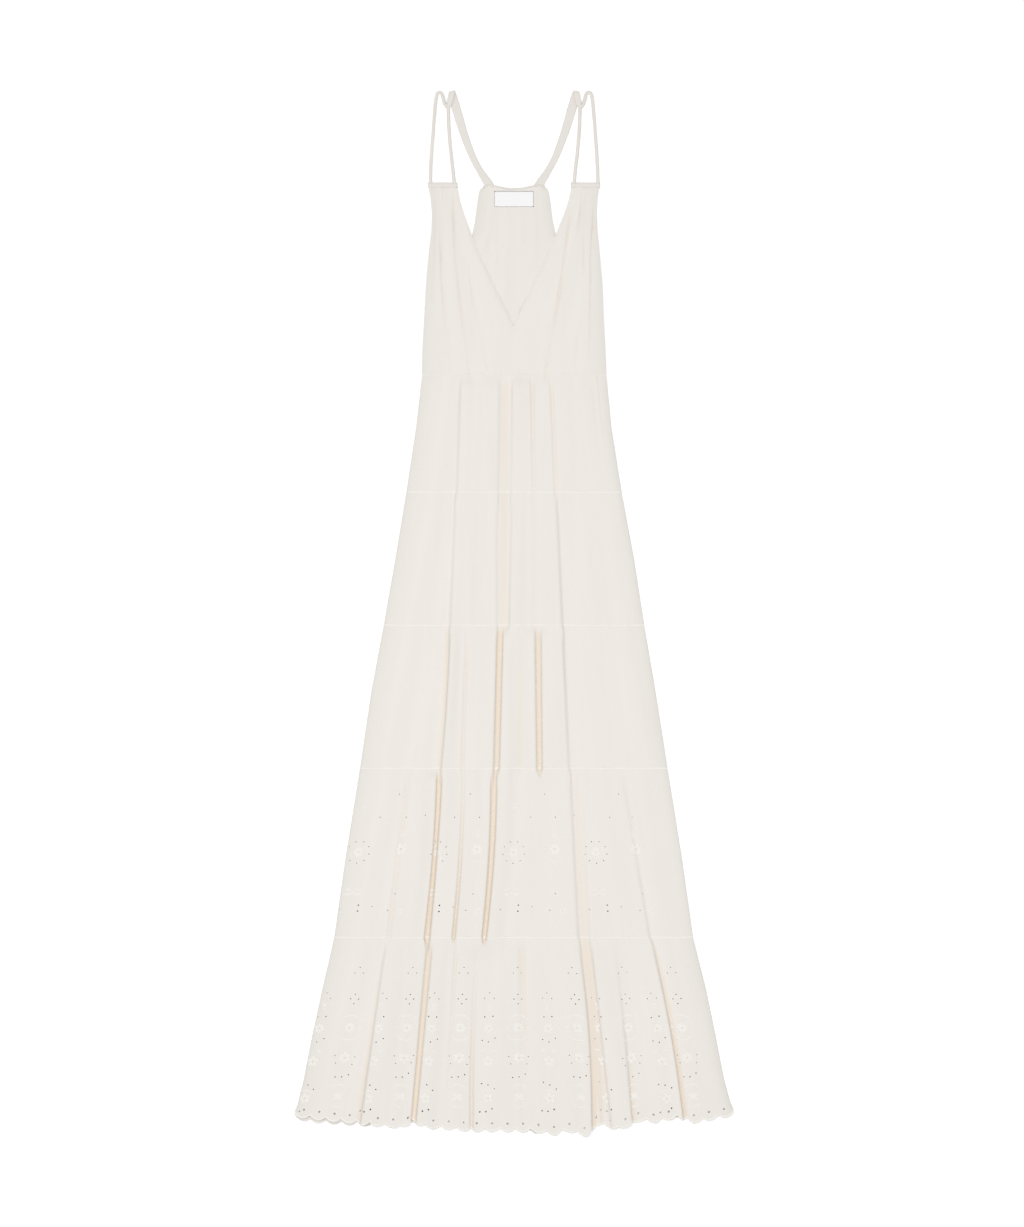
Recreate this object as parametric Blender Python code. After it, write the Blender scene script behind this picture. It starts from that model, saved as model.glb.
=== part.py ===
"""Maxi dress laid flat: a V-neck bodice on corded straps over a gathered skirt of five tiers.

The dress lies on its back. X runs across it, Y from the hem up to the straps, and Z up from the
surface, with the origin under the middle of the whole outline.

Each cloth piece is a thin wall. It starts as a grid of points on the middle of the cloth, with a
direction across the wall at each point, and is thickened both ways along those directions. The
front of each skirt tier is worked out as a row of cross-sections, and each cross-section runs
from the left side edge over every fold to the right side edge.
"""
import math
from collections import namedtuple

import bmesh
import bpy
from mathutils import Vector

# The outline is drafted on a chart: columns count to the right and rows count down to the hem.
UNIT = 0.0014            # one chart square
CENTRE_COL = 514.1
CENTRE_ROW = 613.16

MM = 0.001
SEAM_GAP = 0.3 * MM      # clearance between pieces that are sewn together
FRONT_WALL = 1.2 * MM
BACK_WALL = 1.4 * MM

# Heights of the middle of the front cloth above the surface.
LOW = 2.6 * MM           # under the folds, just clear of the back
REST_RISE = 1.4 * MM     # an open panel lies this much higher than LOW
EDGE_START = 2.3 * MM    # at the side edges, just above the back
ROLL = 14.0 * MM         # width of the rounded side edge
DROP_RUN = 28.0 * MM     # a panel falls from a lip to its resting height over this run

# Folds.
TURN_LENGTH = 4.7 * MM   # cloth in one turn of a fold
LAP_MIN = 1.0 * MM       # straight cloth between the two turns
LAP_STEP = 10.0 * MM     # extra lap for each whole unit of tuck above 1

# Gathers below each seam.
GATHER_STEP = 12.5 * MM  # half a gather
GATHER_HEIGHT = 0.9 * MM
GATHER_FADE = 70.0 * MM

# Scalloped cutwork hem.
LOBE = 22.0 * MM
LOBE_DEPTH = 6.0 * MM
LOBE_COLUMNS = 3
EYELET_RADIUS = 2.4 * MM
BORDER_LOW = 7.0 * MM    # cloth rows on each side of the line of eyelets, above the hem
BORDER_HIGH = 17.0 * MM

# Straps and trims.
CORD_RADIUS = 2.4 * MM
BINDING_RADIUS = 1.3 * MM
STRAP_WALL = 1.8 * MM
BAND_WALL = 3.4 * MM
LABEL_WALL = 1.0 * MM

CREAM = (0.90, 0.86, 0.79, 1.0)
WHITE = (0.93, 0.93, 0.92, 1.0)

# Side edges of the dress from the waist seam to the hem.
Edge = namedtuple("Edge", "row left right")
SKIRT_EDGES = (
    Edge(375, 422.3, 606.2),
    Edge(428, 416.3, 611.3),
    Edge(492, 406.6, 621.4),
    Edge(560, 395.4, 634.0),
    Edge(625, 384.0, 644.0),
    Edge(692, 371.5, 655.4),
    Edge(768, 360.3, 667.3),
    Edge(860, 345.5, 682.0),
    Edge(937, 334.6, 692.8),
    Edge(992, 322.6, 705.8),
    Edge(1040, 312.6, 715.3),
    Edge(1088, 303.6, 724.0),
    Edge(1125, 294.8, 733.4),
)

# Chart rows of the seams: the waist, the four seams between tiers, and the hem line.
SEAM_ROWS = (374.8, 492.0, 625.0, 768.0, 937.0, 1125.0)

# Cross-section places of each tier, as shares of its height.
TIER_SHARES = (0.0, 0.08, 0.28, 0.62, 1.0)
HEM_TIER_SHARES = (0.0, 0.06, 0.22, 0.48, 0.76)

# Folds of the front, tier by tier and from left to right. `over` says which side lies on top, or
# "none" for a plain crease. `top` and `bottom` are chart columns of the visible edge at the
# tier's two seams, and `bow` moves its middle sideways. `start` and `end` are the tuck at the two
# seams: 0.1 is a soft step, 0.5 stands upright, 1 is folded flat. For a crease they are its depth
# in millimetres, and `width` is half its width in millimetres.
Fold = namedtuple("Fold", "tier over top bottom bow start end width")
FOLDS = (
    Fold(1, "right", 461.0, 455.5, 0.0, 0.25, 0.28, 0.0),
    Fold(1, "left", 498.5, 496.5, 0.0, 0.30, 0.22, 0.0),
    Fold(1, "right", 512.5, 511.5, 0.0, 0.30, 0.20, 0.0),
    Fold(1, "none", 531.0, 534.5, 0.0, 2.6, 1.2, 3.5),
    Fold(1, "none", 551.0, 556.0, 0.0, 2.4, 2.0, 3.5),
    Fold(1, "none", 592.0, 603.0, 0.0, 1.2, 0.4, 4.0),
    Fold(2, "right", 455.5, 452.0, 0.0, 0.30, 0.45, 0.0),
    Fold(2, "left", 495.5, 494.5, 0.0, 0.22, 0.35, 0.0),
    Fold(2, "right", 512.0, 509.5, 0.0, 0.20, 0.30, 0.0),
    Fold(2, "none", 535.0, 535.5, 0.0, 1.0, 1.6, 6.0),
    Fold(2, "left", 556.0, 560.0, 0.0, 0.40, 0.60, 0.0),
    Fold(3, "left", 446.0, 436.5, 0.0, 0.04, 0.30, 0.0),
    Fold(3, "right", 452.0, 448.5, 0.0, 0.55, 0.50, 0.0),
    Fold(3, "none", 467.0, 462.5, 0.0, 1.8, 2.0, 3.5),
    Fold(3, "left", 495.5, 490.5, 0.0, 0.60, 0.60, 0.0),
    Fold(3, "right", 503.0, 499.0, 0.0, 0.60, 0.50, 0.0),
    Fold(3, "left", 534.5, 536.5, 0.0, 0.50, 0.80, 0.0),
    Fold(3, "right", 541.0, 542.5, 0.0, 0.50, 0.80, 0.0),
    Fold(3, "left", 561.5, 567.5, 0.0, 0.60, 0.45, 0.0),
    Fold(4, "none", 409.0, 388.5, 0.0, 1.6, 2.2, 5.0),
    Fold(4, "left", 436.5, 424.5, 0.0, 0.50, 0.70, 0.0),
    Fold(4, "right", 445.0, 431.5, 0.0, 0.45, 0.40, 0.0),
    Fold(4, "none", 463.0, 453.7, 1.0, 0.8, 4.2, 4.0),
    Fold(4, "left", 490.5, 480.5, 2.0, 0.60, 0.70, 0.0),
    Fold(4, "right", 498.0, 489.0, 0.0, 0.50, 0.70, 0.0),
    Fold(4, "left", 568.0, 575.0, 0.0, 0.40, 0.45, 0.0),
    Fold(4, "right", 581.0, 591.0, 0.0, 0.20, 0.35, 0.0),
    Fold(4, "left", 621.0, 649.0, 0.0, 0.10, 0.35, 0.0),
    Fold(5, "right", 388.0, 358.5, 0.0, 0.18, 0.40, 0.0),
    Fold(5, "left", 427.0, 410.0, 0.0, 0.35, 0.60, 0.0),
    Fold(5, "right", 434.0, 417.0, 0.0, 0.35, 0.60, 0.0),
    Fold(5, "none", 457.0, 445.0, 0.0, 2.4, 0.3, 3.5),
    Fold(5, "none", 478.0, 471.5, -2.0, 0.6, 4.2, 4.0),
    Fold(5, "none", 521.0, 524.0, 0.0, 2.2, 0.4, 8.0),
    Fold(5, "left", 578.0, 591.5, 4.0, 0.45, 0.70, 0.0),
    Fold(5, "right", 590.5, 612.0, 0.0, 0.35, 0.30, 0.0),
    Fold(5, "left", 613.0, 632.0, 1.5, 0.05, 0.45, 0.0),
    Fold(5, "left", 650.5, 683.0, 3.0, 0.40, 0.75, 0.0),
)

# Lowest chart row of the scallops along the front hem and along the back hem.
Hem = namedtuple("Hem", "col row")
FRONT_HEM = (
    Hem(290, 1116.5),
    Hem(330, 1121.5),
    Hem(400, 1128.5),
    Hem(412, 1122.5),
    Hem(430, 1128.5),
    Hem(478, 1131.5),
    Hem(532, 1132.0),
    Hem(556, 1135.5),
    Hem(566, 1131.5),
    Hem(588, 1136.5),
    Hem(597, 1125.5),
    Hem(618, 1130.0),
    Hem(640, 1121.5),
    Hem(656, 1123.0),
    Hem(676, 1118.0),
    Hem(694, 1123.5),
    Hem(716, 1119.0),
    Hem(736, 1115.5),
)
BACK_HEM = (
    Hem(290, 1117.5),
    Hem(308, 1122.5),
    Hem(345, 1125.5),
    Hem(370, 1126.5),
    Hem(390, 1122.0),
    Hem(500, 1124.0),
    Hem(522, 1132.5),
    Hem(536, 1134.0),
    Hem(552, 1128.0),
    Hem(620, 1121.0),
    Hem(700, 1116.0),
    Hem(736, 1113.0),
)

# Rows of the bodice front: outer edges, and inner edges along the V, which closes at its point.
# `base` is the height of the middle of the cloth in millimetres: the shoulders lie on the
# surface itself and the rest lies on the back.
BodiceRow = namedtuple("BodiceRow", "row left inner_left inner_right right base")
BODICE_ROWS = (
    BodiceRow(188.2, 428.9, 457.8, 571.4, 599.2, 0.9),
    BodiceRow(200.0, 430.8, 460.0, 568.8, 597.4, 0.9),
    BodiceRow(214.0, 431.9, 464.0, 564.2, 596.8, 1.0),
    BodiceRow(231.0, 431.6, 470.0, 557.4, 597.4, 2.6),
    BodiceRow(250.0, 429.2, 477.5, 549.6, 599.2, 2.6),
    BodiceRow(284.0, 426.2, 493.5, 533.4, 602.2, 2.6),
    BodiceRow(325.0, 424.1, 513.4, 513.4, 603.8, 2.6),
    BodiceRow(350.0, 422.6, 513.4, 513.4, 605.2, 2.6),
    BodiceRow(374.6, 422.3, 513.4, 513.4, 606.2, 2.6),
)
V_POINT_ROW = 325.0

# Creases of the bodice front, from its outer edge inwards, with their depth in millimetres.
Crease = namedtuple("Crease", "side top bottom start end width")
BODICE_CREASES = (
    Crease("left", 438.0, 453.0, 0.8, 1.3, 3.0),
    Crease("left", 449.5, 472.5, 1.3, 1.3, 3.0),
    Crease("right", 577.0, 546.5, 1.0, 2.6, 3.5),
    Crease("right", 583.5, 578.0, 0.8, 0.9, 2.5),
    Crease("right", 592.0, 589.5, 1.3, 1.0, 2.5),
)

# Back bodice: chart columns of its two side edges.
BackRow = namedtuple("BackRow", "row left right")
BACK_BODICE_ROWS = (
    BackRow(190.0, 483.0, 545.4),
    BackRow(200.0, 479.5, 548.4),
    BackRow(214.0, 476.5, 551.4),
    BackRow(236.0, 472.0, 556.0),
    BackRow(252.0, 456.0, 572.0),
    BackRow(268.0, 430.5, 597.8),
    BackRow(300.0, 426.6, 600.8),
    BackRow(340.0, 424.6, 602.8),
    BackRow(374.6, 423.2, 605.4),
)
# Columns of the back bodice between its side edges, and the two that stand up as soft ribs.
BACK_COLUMNS = (488.6, 496.0, 500.0, 505.0, 514.1, 523.2, 532.2, 536.0, 539.6)
BACK_RIBS = (500.0, 536.0)
RIB_ROWS = (214.0, 268.0)
RIB_HEIGHT = 0.9 * MM

# Straps: each point has a chart place, the height of its middle and the strap's width there, in
# millimetres. The strap climbs from the back neck, turns over at its top and comes down in
# front as a short end that the two cords join.
StrapPoint = namedtuple("StrapPoint", "col row height width")
BACK_STRAP = (
    StrapPoint(488.4, 184.0, 1.0, 12.0),
    StrapPoint(479.5, 170.0, 1.0, 9.4),
    StrapPoint(472.2, 156.0, 1.0, 9.6),
    StrapPoint(464.6, 136.0, 1.0, 11.0),
    StrapPoint(457.8, 114.0, 1.0, 12.4),
    StrapPoint(453.4, 98.0, 1.0, 11.5),
    StrapPoint(452.2, 93.0, 1.3, 9.5),
    StrapPoint(451.9, 92.0, 2.8, 9.0),
    StrapPoint(451.9, 93.0, 4.3, 9.0),
    StrapPoint(450.8, 99.0, 4.6, 8.6),
    StrapPoint(448.6, 107.5, 4.6, 7.4),
)
CordPoint = namedtuple("CordPoint", "col row")
OUTER_CORD = (
    CordPoint(430.4, 182.4),
    CordPoint(431.2, 160.0),
    CordPoint(433.2, 132.0),
    CordPoint(435.0, 108.0),
    CordPoint(435.9, 99.8),
    CordPoint(436.7, 95.9),
    CordPoint(437.7, 93.7),
    CordPoint(439.6, 92.8),
    CordPoint(441.5, 93.7),
    CordPoint(442.5, 95.9),
    CordPoint(443.3, 99.4),
    CordPoint(443.9, 103.0),
)
INNER_CORD = (
    CordPoint(454.4, 182.4),
    CordPoint(452.3, 165.0),
    CordPoint(450.2, 146.0),
    CordPoint(448.8, 126.0),
    CordPoint(448.2, 109.6),
)
CORD_HEIGHT = 2.7        # millimetres, middle of the cord above the surface

# The bound back neckline, raised at both corners and low in the middle.
NECK_BINDING = (
    CordPoint(483.2, 187.2),
    CordPoint(488.6, 185.2),
    CordPoint(496.0, 186.6),
    CordPoint(505.0, 188.6),
    CordPoint(514.1, 189.2),
    CordPoint(523.2, 188.6),
    CordPoint(532.2, 186.6),
    CordPoint(539.6, 185.2),
    CordPoint(545.0, 187.2),
)

BAND_TOP = 182.9
BAND_BOTTOM = 188.0
BAND_LEFT = (428.2, 457.4)
LABEL_COLS = (494.4, 533.6)
LABEL_ROWS = (191.2, 207.0)


def chart_x(col):
    """Distance right of the dress's middle line for a chart column."""
    return (col - CENTRE_COL) * UNIT


def chart_y(row):
    """Distance above the outline's middle for a chart row."""
    return (CENTRE_ROW - row) * UNIT


def mirror_col(col):
    """The chart column as far on the other side of the middle line."""
    return 2.0 * CENTRE_COL - col


def between(low, high, share):
    """The value a share of the way from low to high."""
    return low + (high - low) * share


def read_table(rows, key, value, at):
    """Value of a table at a place, straight between its rows and held level past its ends."""
    first = rows[0]
    if at <= getattr(first, key):
        return getattr(first, value)
    for lower, upper in zip(rows, rows[1:]):
        if at <= getattr(upper, key):
            span = getattr(upper, key) - getattr(lower, key)
            share = (at - getattr(lower, key)) / span
            return between(getattr(lower, value), getattr(upper, value), share)
    return getattr(rows[-1], value)


def make_material(name, colour, roughness):
    """A plain finish for one sub-part."""
    material = bpy.data.materials.new(name)
    material.use_nodes = True
    shader = material.node_tree.nodes["Principled BSDF"]
    shader.inputs["Base Color"].default_value = colour
    shader.inputs["Roughness"].default_value = roughness
    shader.inputs["Metallic"].default_value = 0.0
    return material


class Wall:
    """Cloth middle points with a direction across the wall, and the cells between them."""

    def __init__(self):
        self.points = {}
        self.cells = []

    def add_point(self, key, position, across, half):
        """A point of the middle surface; half is half the wall's thickness there."""
        self.points[key] = (Vector(position), Vector(across), half)

    def add_grid(self, rows, cols, key=lambda row, col: (row, col), holes=()):
        """Cells of a grid, with a hexagonal eyelet in each cell named in holes."""
        for row in range(rows - 1):
            for col in range(cols - 1):
                corners = (key(row, col), key(row + 1, col), key(row + 1, col + 1), key(row, col + 1))
                if (row, col) in holes:
                    self.add_eyelet(corners)
                else:
                    self.cells.append(corners)

    def add_eyelet(self, corners):
        """A cell with a round hole, as four faces around a hexagon."""
        top_left, low_left, low_right, top_right = (self.points[corner] for corner in corners)
        width = (top_right[0] - top_left[0]).length
        height = (low_left[0] - top_left[0]).length
        ring = []
        for step in range(6):
            angle = math.radians(120 + 60 * step)
            across_share = 0.5 + EYELET_RADIUS * math.cos(angle) / width
            down_share = 0.5 - EYELET_RADIUS * math.sin(angle) / height
            upper = top_left[0].lerp(top_right[0], across_share)
            lower = low_left[0].lerp(low_right[0], across_share)
            upper_dir = top_left[1].lerp(top_right[1], across_share)
            lower_dir = low_left[1].lerp(low_right[1], across_share)
            key = corners + (step,)
            self.add_point(key, upper.lerp(lower, down_share), upper_dir.lerp(lower_dir, down_share), top_left[2])
            ring.append(key)
        a, b, c, d = corners
        self.cells.append((a, b, ring[2], ring[1], ring[0]))
        self.cells.append((b, c, ring[3], ring[2]))
        self.cells.append((c, d, ring[5], ring[4], ring[3]))
        self.cells.append((d, a, ring[0], ring[5]))

    def build(self, name, material):
        """The closed solid: both faces of the wall, joined along every open edge."""
        mesh = bmesh.new()
        outer = {}
        inner = {}
        for key, (position, across, half) in self.points.items():
            outer[key] = mesh.verts.new(position + across * half)
            inner[key] = mesh.verts.new(position - across * half)
        edges = set()
        for cell in self.cells:
            mesh.faces.new([outer[key] for key in cell])
            mesh.faces.new([inner[key] for key in reversed(cell)])
            edges.update(zip(cell, cell[1:] + cell[:1]))
        for start, end in sorted(edges, key=str):
            if (end, start) not in edges:
                mesh.faces.new((outer[end], outer[start], inner[start], inner[end]))
        bmesh.ops.recalc_face_normals(mesh, faces=mesh.faces)
        data = bpy.data.meshes.new(name)
        mesh.to_mesh(data)
        mesh.free()
        data.shade_smooth()
        data.set_sharp_from_angle(angle=math.radians(50))
        data.materials.append(material)
        piece = bpy.data.objects.new(name, data)
        bpy.context.collection.objects.link(piece)
        return piece


def across_wall(section):
    """Directions across the wall at each point of a cross-section, longer where it bends."""
    normals = []
    for (x0, z0), (x1, z1) in zip(section, section[1:]):
        length = math.hypot(x1 - x0, z1 - z0)
        normals.append((-(z1 - z0) / length, (x1 - x0) / length))
    result = [normals[0]]
    for before, after in zip(normals, normals[1:]):
        sum_x = before[0] + after[0]
        sum_z = before[1] + after[1]
        size = math.hypot(sum_x, sum_z)
        stretch = min(2.0 / size, 1.25)
        result.append((sum_x / size * stretch, sum_z / size * stretch))
    result.append(normals[-1])
    return result


def lip_profile(tuck, arc_steps):
    """Cloth that goes down over a lip to the right, as (x, z) with the lip at x = 0."""
    angle = math.pi * min(max(tuck, 0.04), 1.0)
    lap = LAP_MIN + max(tuck - 1.0, 0.0) * LAP_STEP
    radius = TURN_LENGTH / angle
    first_turn = []
    for step in range(arc_steps + 1):
        turned = angle * step / arc_steps
        first_turn.append((radius * math.sin(turned), -radius * (1.0 - math.cos(turned))))
    end_x, end_z = first_turn[-1]
    mid_x = end_x + 0.5 * lap * math.cos(angle)
    mid_z = end_z - 0.5 * lap * math.sin(angle)
    second_turn = [(2.0 * mid_x - x, 2.0 * mid_z - z) for x, z in reversed(first_turn)]
    lip = radius * math.sin(min(angle, 0.5 * math.pi))
    return [(x - lip, z - 2.0 * mid_z) for x, z in first_turn + second_turn]


def fold_points(fold, share):
    """Cross-section points of one fold at a share of its tier's height, above LOW."""
    col = between(fold.top, fold.bottom, share) + fold.bow * math.sin(math.pi * share)
    size = between(fold.start, fold.end, share)
    middle = chart_x(col)
    if fold.over == "none":
        level = max(REST_RISE, size * MM)
        half = fold.width * MM
        return [(middle - half, level), (middle, level - size * MM), (middle + half, level)]
    strong = max(fold.start, fold.end) > 0.5
    profile = lip_profile(size, 3 if strong else 2)
    if fold.over == "right":
        profile = [(-x, z) for x, z in reversed(profile)]
    return [(middle + x, z) for x, z in profile]


def fall(distance, run):
    """Share of a lip's height that is left at a distance from it."""
    if distance >= run:
        return 0.0
    return 0.5 + 0.5 * math.cos(math.pi * distance / run)


def panel_points(start, end, count, ripple):
    """Points inside a panel between two folds: it falls from both lips to its resting height."""
    width = end[0] - start[0]
    run = min(DROP_RUN, width)
    ripple *= min(1.0, width / (3.0 * GATHER_STEP))
    points = []
    for index in range(1, count + 1):
        distance = width * index / (count + 1)
        height = REST_RISE
        height += (start[1] - REST_RISE) * fall(distance, run)
        height += (end[1] - REST_RISE) * fall(width - distance, run)
        swing = 1.0 if index % 2 else -1.0
        ends = math.sin(math.pi * index / (count + 1))
        points.append((start[0] + distance, height + swing * ends * ripple))
    return points


def roll_points(edge_x, inward):
    """The rounded side edge, from the back up to the front's resting height."""
    top = REST_RISE
    bottom = EDGE_START - LOW
    points = []
    for step in range(4):
        angle = math.radians(30.0 * step)
        x = edge_x + inward * ROLL * (1.0 - math.cos(angle))
        points.append((x, between(bottom, top, math.sin(angle))))
    return points


def tier_section(tier, share, panel_counts):
    """One cross-section of a front tier, from its left side edge to its right side edge."""
    row = between(SEAM_ROWS[tier - 1], SEAM_ROWS[tier], share)
    left = chart_x(read_table(SKIRT_EDGES, "row", "left", row))
    right = chart_x(read_table(SKIRT_EDGES, "row", "right", row))
    below_seam = (row - SEAM_ROWS[tier - 1]) * UNIT
    ripple = GATHER_HEIGHT * max(0.0, 1.0 - below_seam / GATHER_FADE)
    if share == 0.0:
        ripple *= 0.4
    parts = [roll_points(left, 1.0)]
    parts += [fold_points(fold, share) for fold in FOLDS if fold.tier == tier]
    parts.append(list(reversed(roll_points(right, -1.0))))
    section = list(parts[0])
    for before, after, count in zip(parts, parts[1:], panel_counts):
        section += panel_points(before[-1], after[0], count, ripple)
        section += after
    return [(x, LOW + z) for x, z in section]


def count_panels(tier, step, multiple):
    """Inside points for each panel of a tier, from its width at the tier's lower end."""
    counts = [0] * (len([fold for fold in FOLDS if fold.tier == tier]) + 1)
    row = SEAM_ROWS[tier]
    parts = [roll_points(chart_x(read_table(SKIRT_EDGES, "row", "left", row)), 1.0)]
    parts += [fold_points(fold, 1.0) for fold in FOLDS if fold.tier == tier]
    parts.append(list(reversed(roll_points(chart_x(read_table(SKIRT_EDGES, "row", "right", row)), -1.0))))
    for index, (before, after) in enumerate(zip(parts, parts[1:])):
        width = after[0][0] - before[-1][0]
        cells = multiple * round(width / (step * multiple))
        counts[index] = max(cells - 1, 0)
    return counts


def lobe_phases(section):
    """Place within a scallop at each point of the hem's cross-section, whole at each notch."""
    phases = [0.0]
    for (x0, z0), (x1, z1) in zip(section, section[1:]):
        phases.append(phases[-1] + math.hypot(x1 - x0, z1 - z0))
    lobes = round(phases[-1] / LOBE)
    return [phase / phases[-1] * lobes for phase in phases]


def hem_row(table, x, above):
    """Chart row at a height above the lowest edge of the scallops."""
    col = x / UNIT + CENTRE_COL
    return read_table(table, "col", "row", col) - above / UNIT


def scallop(phase):
    """How far the hem edge is above the scallops' lowest line."""
    return LOBE_DEPTH * (1.0 - abs(math.sin(math.pi * phase)) ** 0.7)


def front_tier(tier, material):
    """The front of one tier above the last."""
    counts = count_panels(tier, GATHER_STEP, 1)
    wall = Wall()
    top = SEAM_ROWS[tier - 1] + 0.5 * SEAM_GAP / UNIT
    bottom = SEAM_ROWS[tier] - 0.5 * SEAM_GAP / UNIT
    for row, share in enumerate(TIER_SHARES):
        section = tier_section(tier, share, counts)
        y = chart_y(between(top, bottom, share))
        for col, ((x, z), (across_x, across_z)) in enumerate(zip(section, across_wall(section))):
            wall.add_point((row, col), (x, y, z), (across_x, 0.0, across_z), 0.5 * FRONT_WALL)
    wall.add_grid(len(TIER_SHARES), len(section))
    return wall.build("skirt_front_%d" % tier, material)


def hem_eyelets(phases, border_row):
    """The cell in the middle of each scallop, in the border row."""
    cells = set()
    for col, (start, end) in enumerate(zip(phases, phases[1:])):
        middle = 0.5 * (start + end)
        if int(start + 1e-6) == int(end - 1e-6) and abs(middle % 1.0 - 0.5) < 0.5 / LOBE_COLUMNS:
            cells.add((border_row, col))
    return cells


def front_hem_tier(material):
    """The last front tier, with its scalloped edge and the eyelets along it."""
    counts = count_panels(5, LOBE / LOBE_COLUMNS, LOBE_COLUMNS)
    sections = [tier_section(5, share, counts) for share in HEM_TIER_SHARES]
    last = tier_section(5, 1.0, counts)
    top = SEAM_ROWS[4] + 0.5 * SEAM_GAP / UNIT
    phases = lobe_phases(last)
    wall = Wall()
    for row, (share, section) in enumerate(zip(HEM_TIER_SHARES, sections)):
        for col, ((x, z), (across_x, across_z)) in enumerate(zip(section, across_wall(section))):
            low = hem_row(FRONT_HEM, last[col][0], 0.0)
            y = chart_y(between(top, low, share))
            wall.add_point((row, col), (x, y, z), (across_x, 0.0, across_z), 0.5 * FRONT_WALL)
    border = len(HEM_TIER_SHARES)
    for row, height in enumerate((BORDER_HIGH, BORDER_LOW, None)):
        for col, ((x, z), (across_x, across_z)) in enumerate(zip(last, across_wall(last))):
            above = scallop(phases[col]) if height is None else height
            y = chart_y(hem_row(FRONT_HEM, x, above))
            wall.add_point((border + row, col), (x, y, z), (across_x, 0.0, across_z), 0.5 * FRONT_WALL)
    holes = set()
    for row, col in hem_eyelets(phases, border):
        flat = abs(last[col + 1][1] - last[col][1]) < 0.8 * MM
        if flat and last[col + 1][0] - last[col][0] > 2.6 * EYELET_RADIUS:
            holes.add((row, col))
    wall.add_grid(border + 3, len(last), holes=holes)
    return wall.build("skirt_front_5", material)


def back_tier(tier, material):
    """The back of one tier above the last, flat on the surface."""
    wall = Wall()
    top = SEAM_ROWS[tier - 1] + 0.5 * SEAM_GAP / UNIT
    bottom = SEAM_ROWS[tier] - 0.5 * SEAM_GAP / UNIT
    rows = [top]
    rows += [edge.row for edge in SKIRT_EDGES if top + 5 < edge.row < bottom - 5]
    rows.append(bottom)
    cols = 7
    for index, row in enumerate(rows):
        left = read_table(SKIRT_EDGES, "row", "left", row)
        right = read_table(SKIRT_EDGES, "row", "right", row)
        for col in range(cols):
            x = chart_x(between(left, right, col / (cols - 1)))
            wall.add_point((index, col), (x, chart_y(row), 0.5 * BACK_WALL), (0, 0, 1), 0.5 * BACK_WALL)
    wall.add_grid(len(rows), cols)
    return wall.build("skirt_back_%d" % tier, material)


def back_hem_tier(material):
    """The last back tier, with the same scalloped cutwork edge."""
    wall = Wall()
    left = read_table(SKIRT_EDGES, "row", "left", SEAM_ROWS[5])
    right = read_table(SKIRT_EDGES, "row", "right", SEAM_ROWS[5])
    lobes = round((right - left) * UNIT / LOBE)
    cols = lobes * LOBE_COLUMNS + 1
    top = SEAM_ROWS[4] + 0.5 * SEAM_GAP / UNIT
    shares = (0.0, 0.34, 0.68)
    for index, share in enumerate(shares):
        row = between(top, SEAM_ROWS[5], share)
        low = chart_x(read_table(SKIRT_EDGES, "row", "left", row))
        high = chart_x(read_table(SKIRT_EDGES, "row", "right", row))
        for col in range(cols):
            x = between(low, high, col / (cols - 1))
            wall.add_point((index, col), (x, chart_y(row), 0.5 * BACK_WALL), (0, 0, 1), 0.5 * BACK_WALL)
    for index, height in enumerate((BORDER_HIGH, BORDER_LOW, None)):
        for col in range(cols):
            phase = col / LOBE_COLUMNS
            x = chart_x(between(left, right, col / (cols - 1)))
            above = scallop(phase) if height is None else height
            y = chart_y(hem_row(BACK_HEM, x, above))
            place = (x, y, 0.5 * BACK_WALL)
            wall.add_point((len(shares) + index, col), place, (0, 0, 1), 0.5 * BACK_WALL)
    holes = {(len(shares), LOBE_COLUMNS * lobe + 1) for lobe in range(1, lobes - 1)}
    wall.add_grid(len(shares) + 3, cols, holes=holes)
    return wall.build("skirt_back_5", material)


def bodice_half(side, row, share):
    """Cross-section of one half of the bodice front, from left to right."""
    if side == "left":
        start, end = chart_x(row.left), chart_x(row.inner_left)
    else:
        start, end = chart_x(row.inner_right), chart_x(row.right)
    lift = 0.7 * MM
    features = []
    for crease in BODICE_CREASES:
        if crease.side == side:
            middle = chart_x(between(crease.top, crease.bottom, share))
            depth = between(crease.start, crease.end, share) * MM
            half = crease.width * MM
            level = max(lift, depth)
            features.append([(middle - half, level), (middle, level - depth), (middle + half, level)])
    section = [(start, 0.0)]
    ends = [[(start, 0.0)]] + features + [[(end, 0.0)]]
    for before, after in zip(ends, ends[1:]):
        for index in (1, 2):
            x = between(before[-1][0], after[0][0], index / 3.0)
            section.append((x, lift + 0.5 * MM))
        section += after
    return section


def bodice_front(material):
    """The bodice front in one piece: two halves that share the line below the V."""
    wall = Wall()
    top = BODICE_ROWS[0].row
    bottom = BODICE_ROWS[-1].row
    widths = {}

    def key_for(side, row, col):
        on_seam = col == (widths["left"] - 1 if side == "left" else 0)
        if on_seam and BODICE_ROWS[row].row >= V_POINT_ROW:
            return ("middle", row)
        return (side, row, col)

    for side in ("left", "right"):
        for index, row in enumerate(BODICE_ROWS):
            section = bodice_half(side, row, (row.row - top) / (bottom - top))
            widths[side] = len(section)
            if row.row >= V_POINT_ROW:
                seam = len(section) - 1 if side == "left" else 0
                section[seam] = (section[seam][0], 1.0 * MM)
            for col, ((x, z), (across_x, across_z)) in enumerate(zip(section, across_wall(section))):
                key = key_for(side, index, col)
                if key[0] == "middle":
                    across_x, across_z = 0.0, 1.0
                place = (x, chart_y(row.row), row.base * MM + z)
                wall.add_point(key, place, (across_x, 0.0, across_z), 0.5 * FRONT_WALL)
        wall.add_grid(len(BODICE_ROWS), widths[side], key=lambda row, col, side=side: key_for(side, row, col))
    return wall.build("bodice_front", material)


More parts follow.
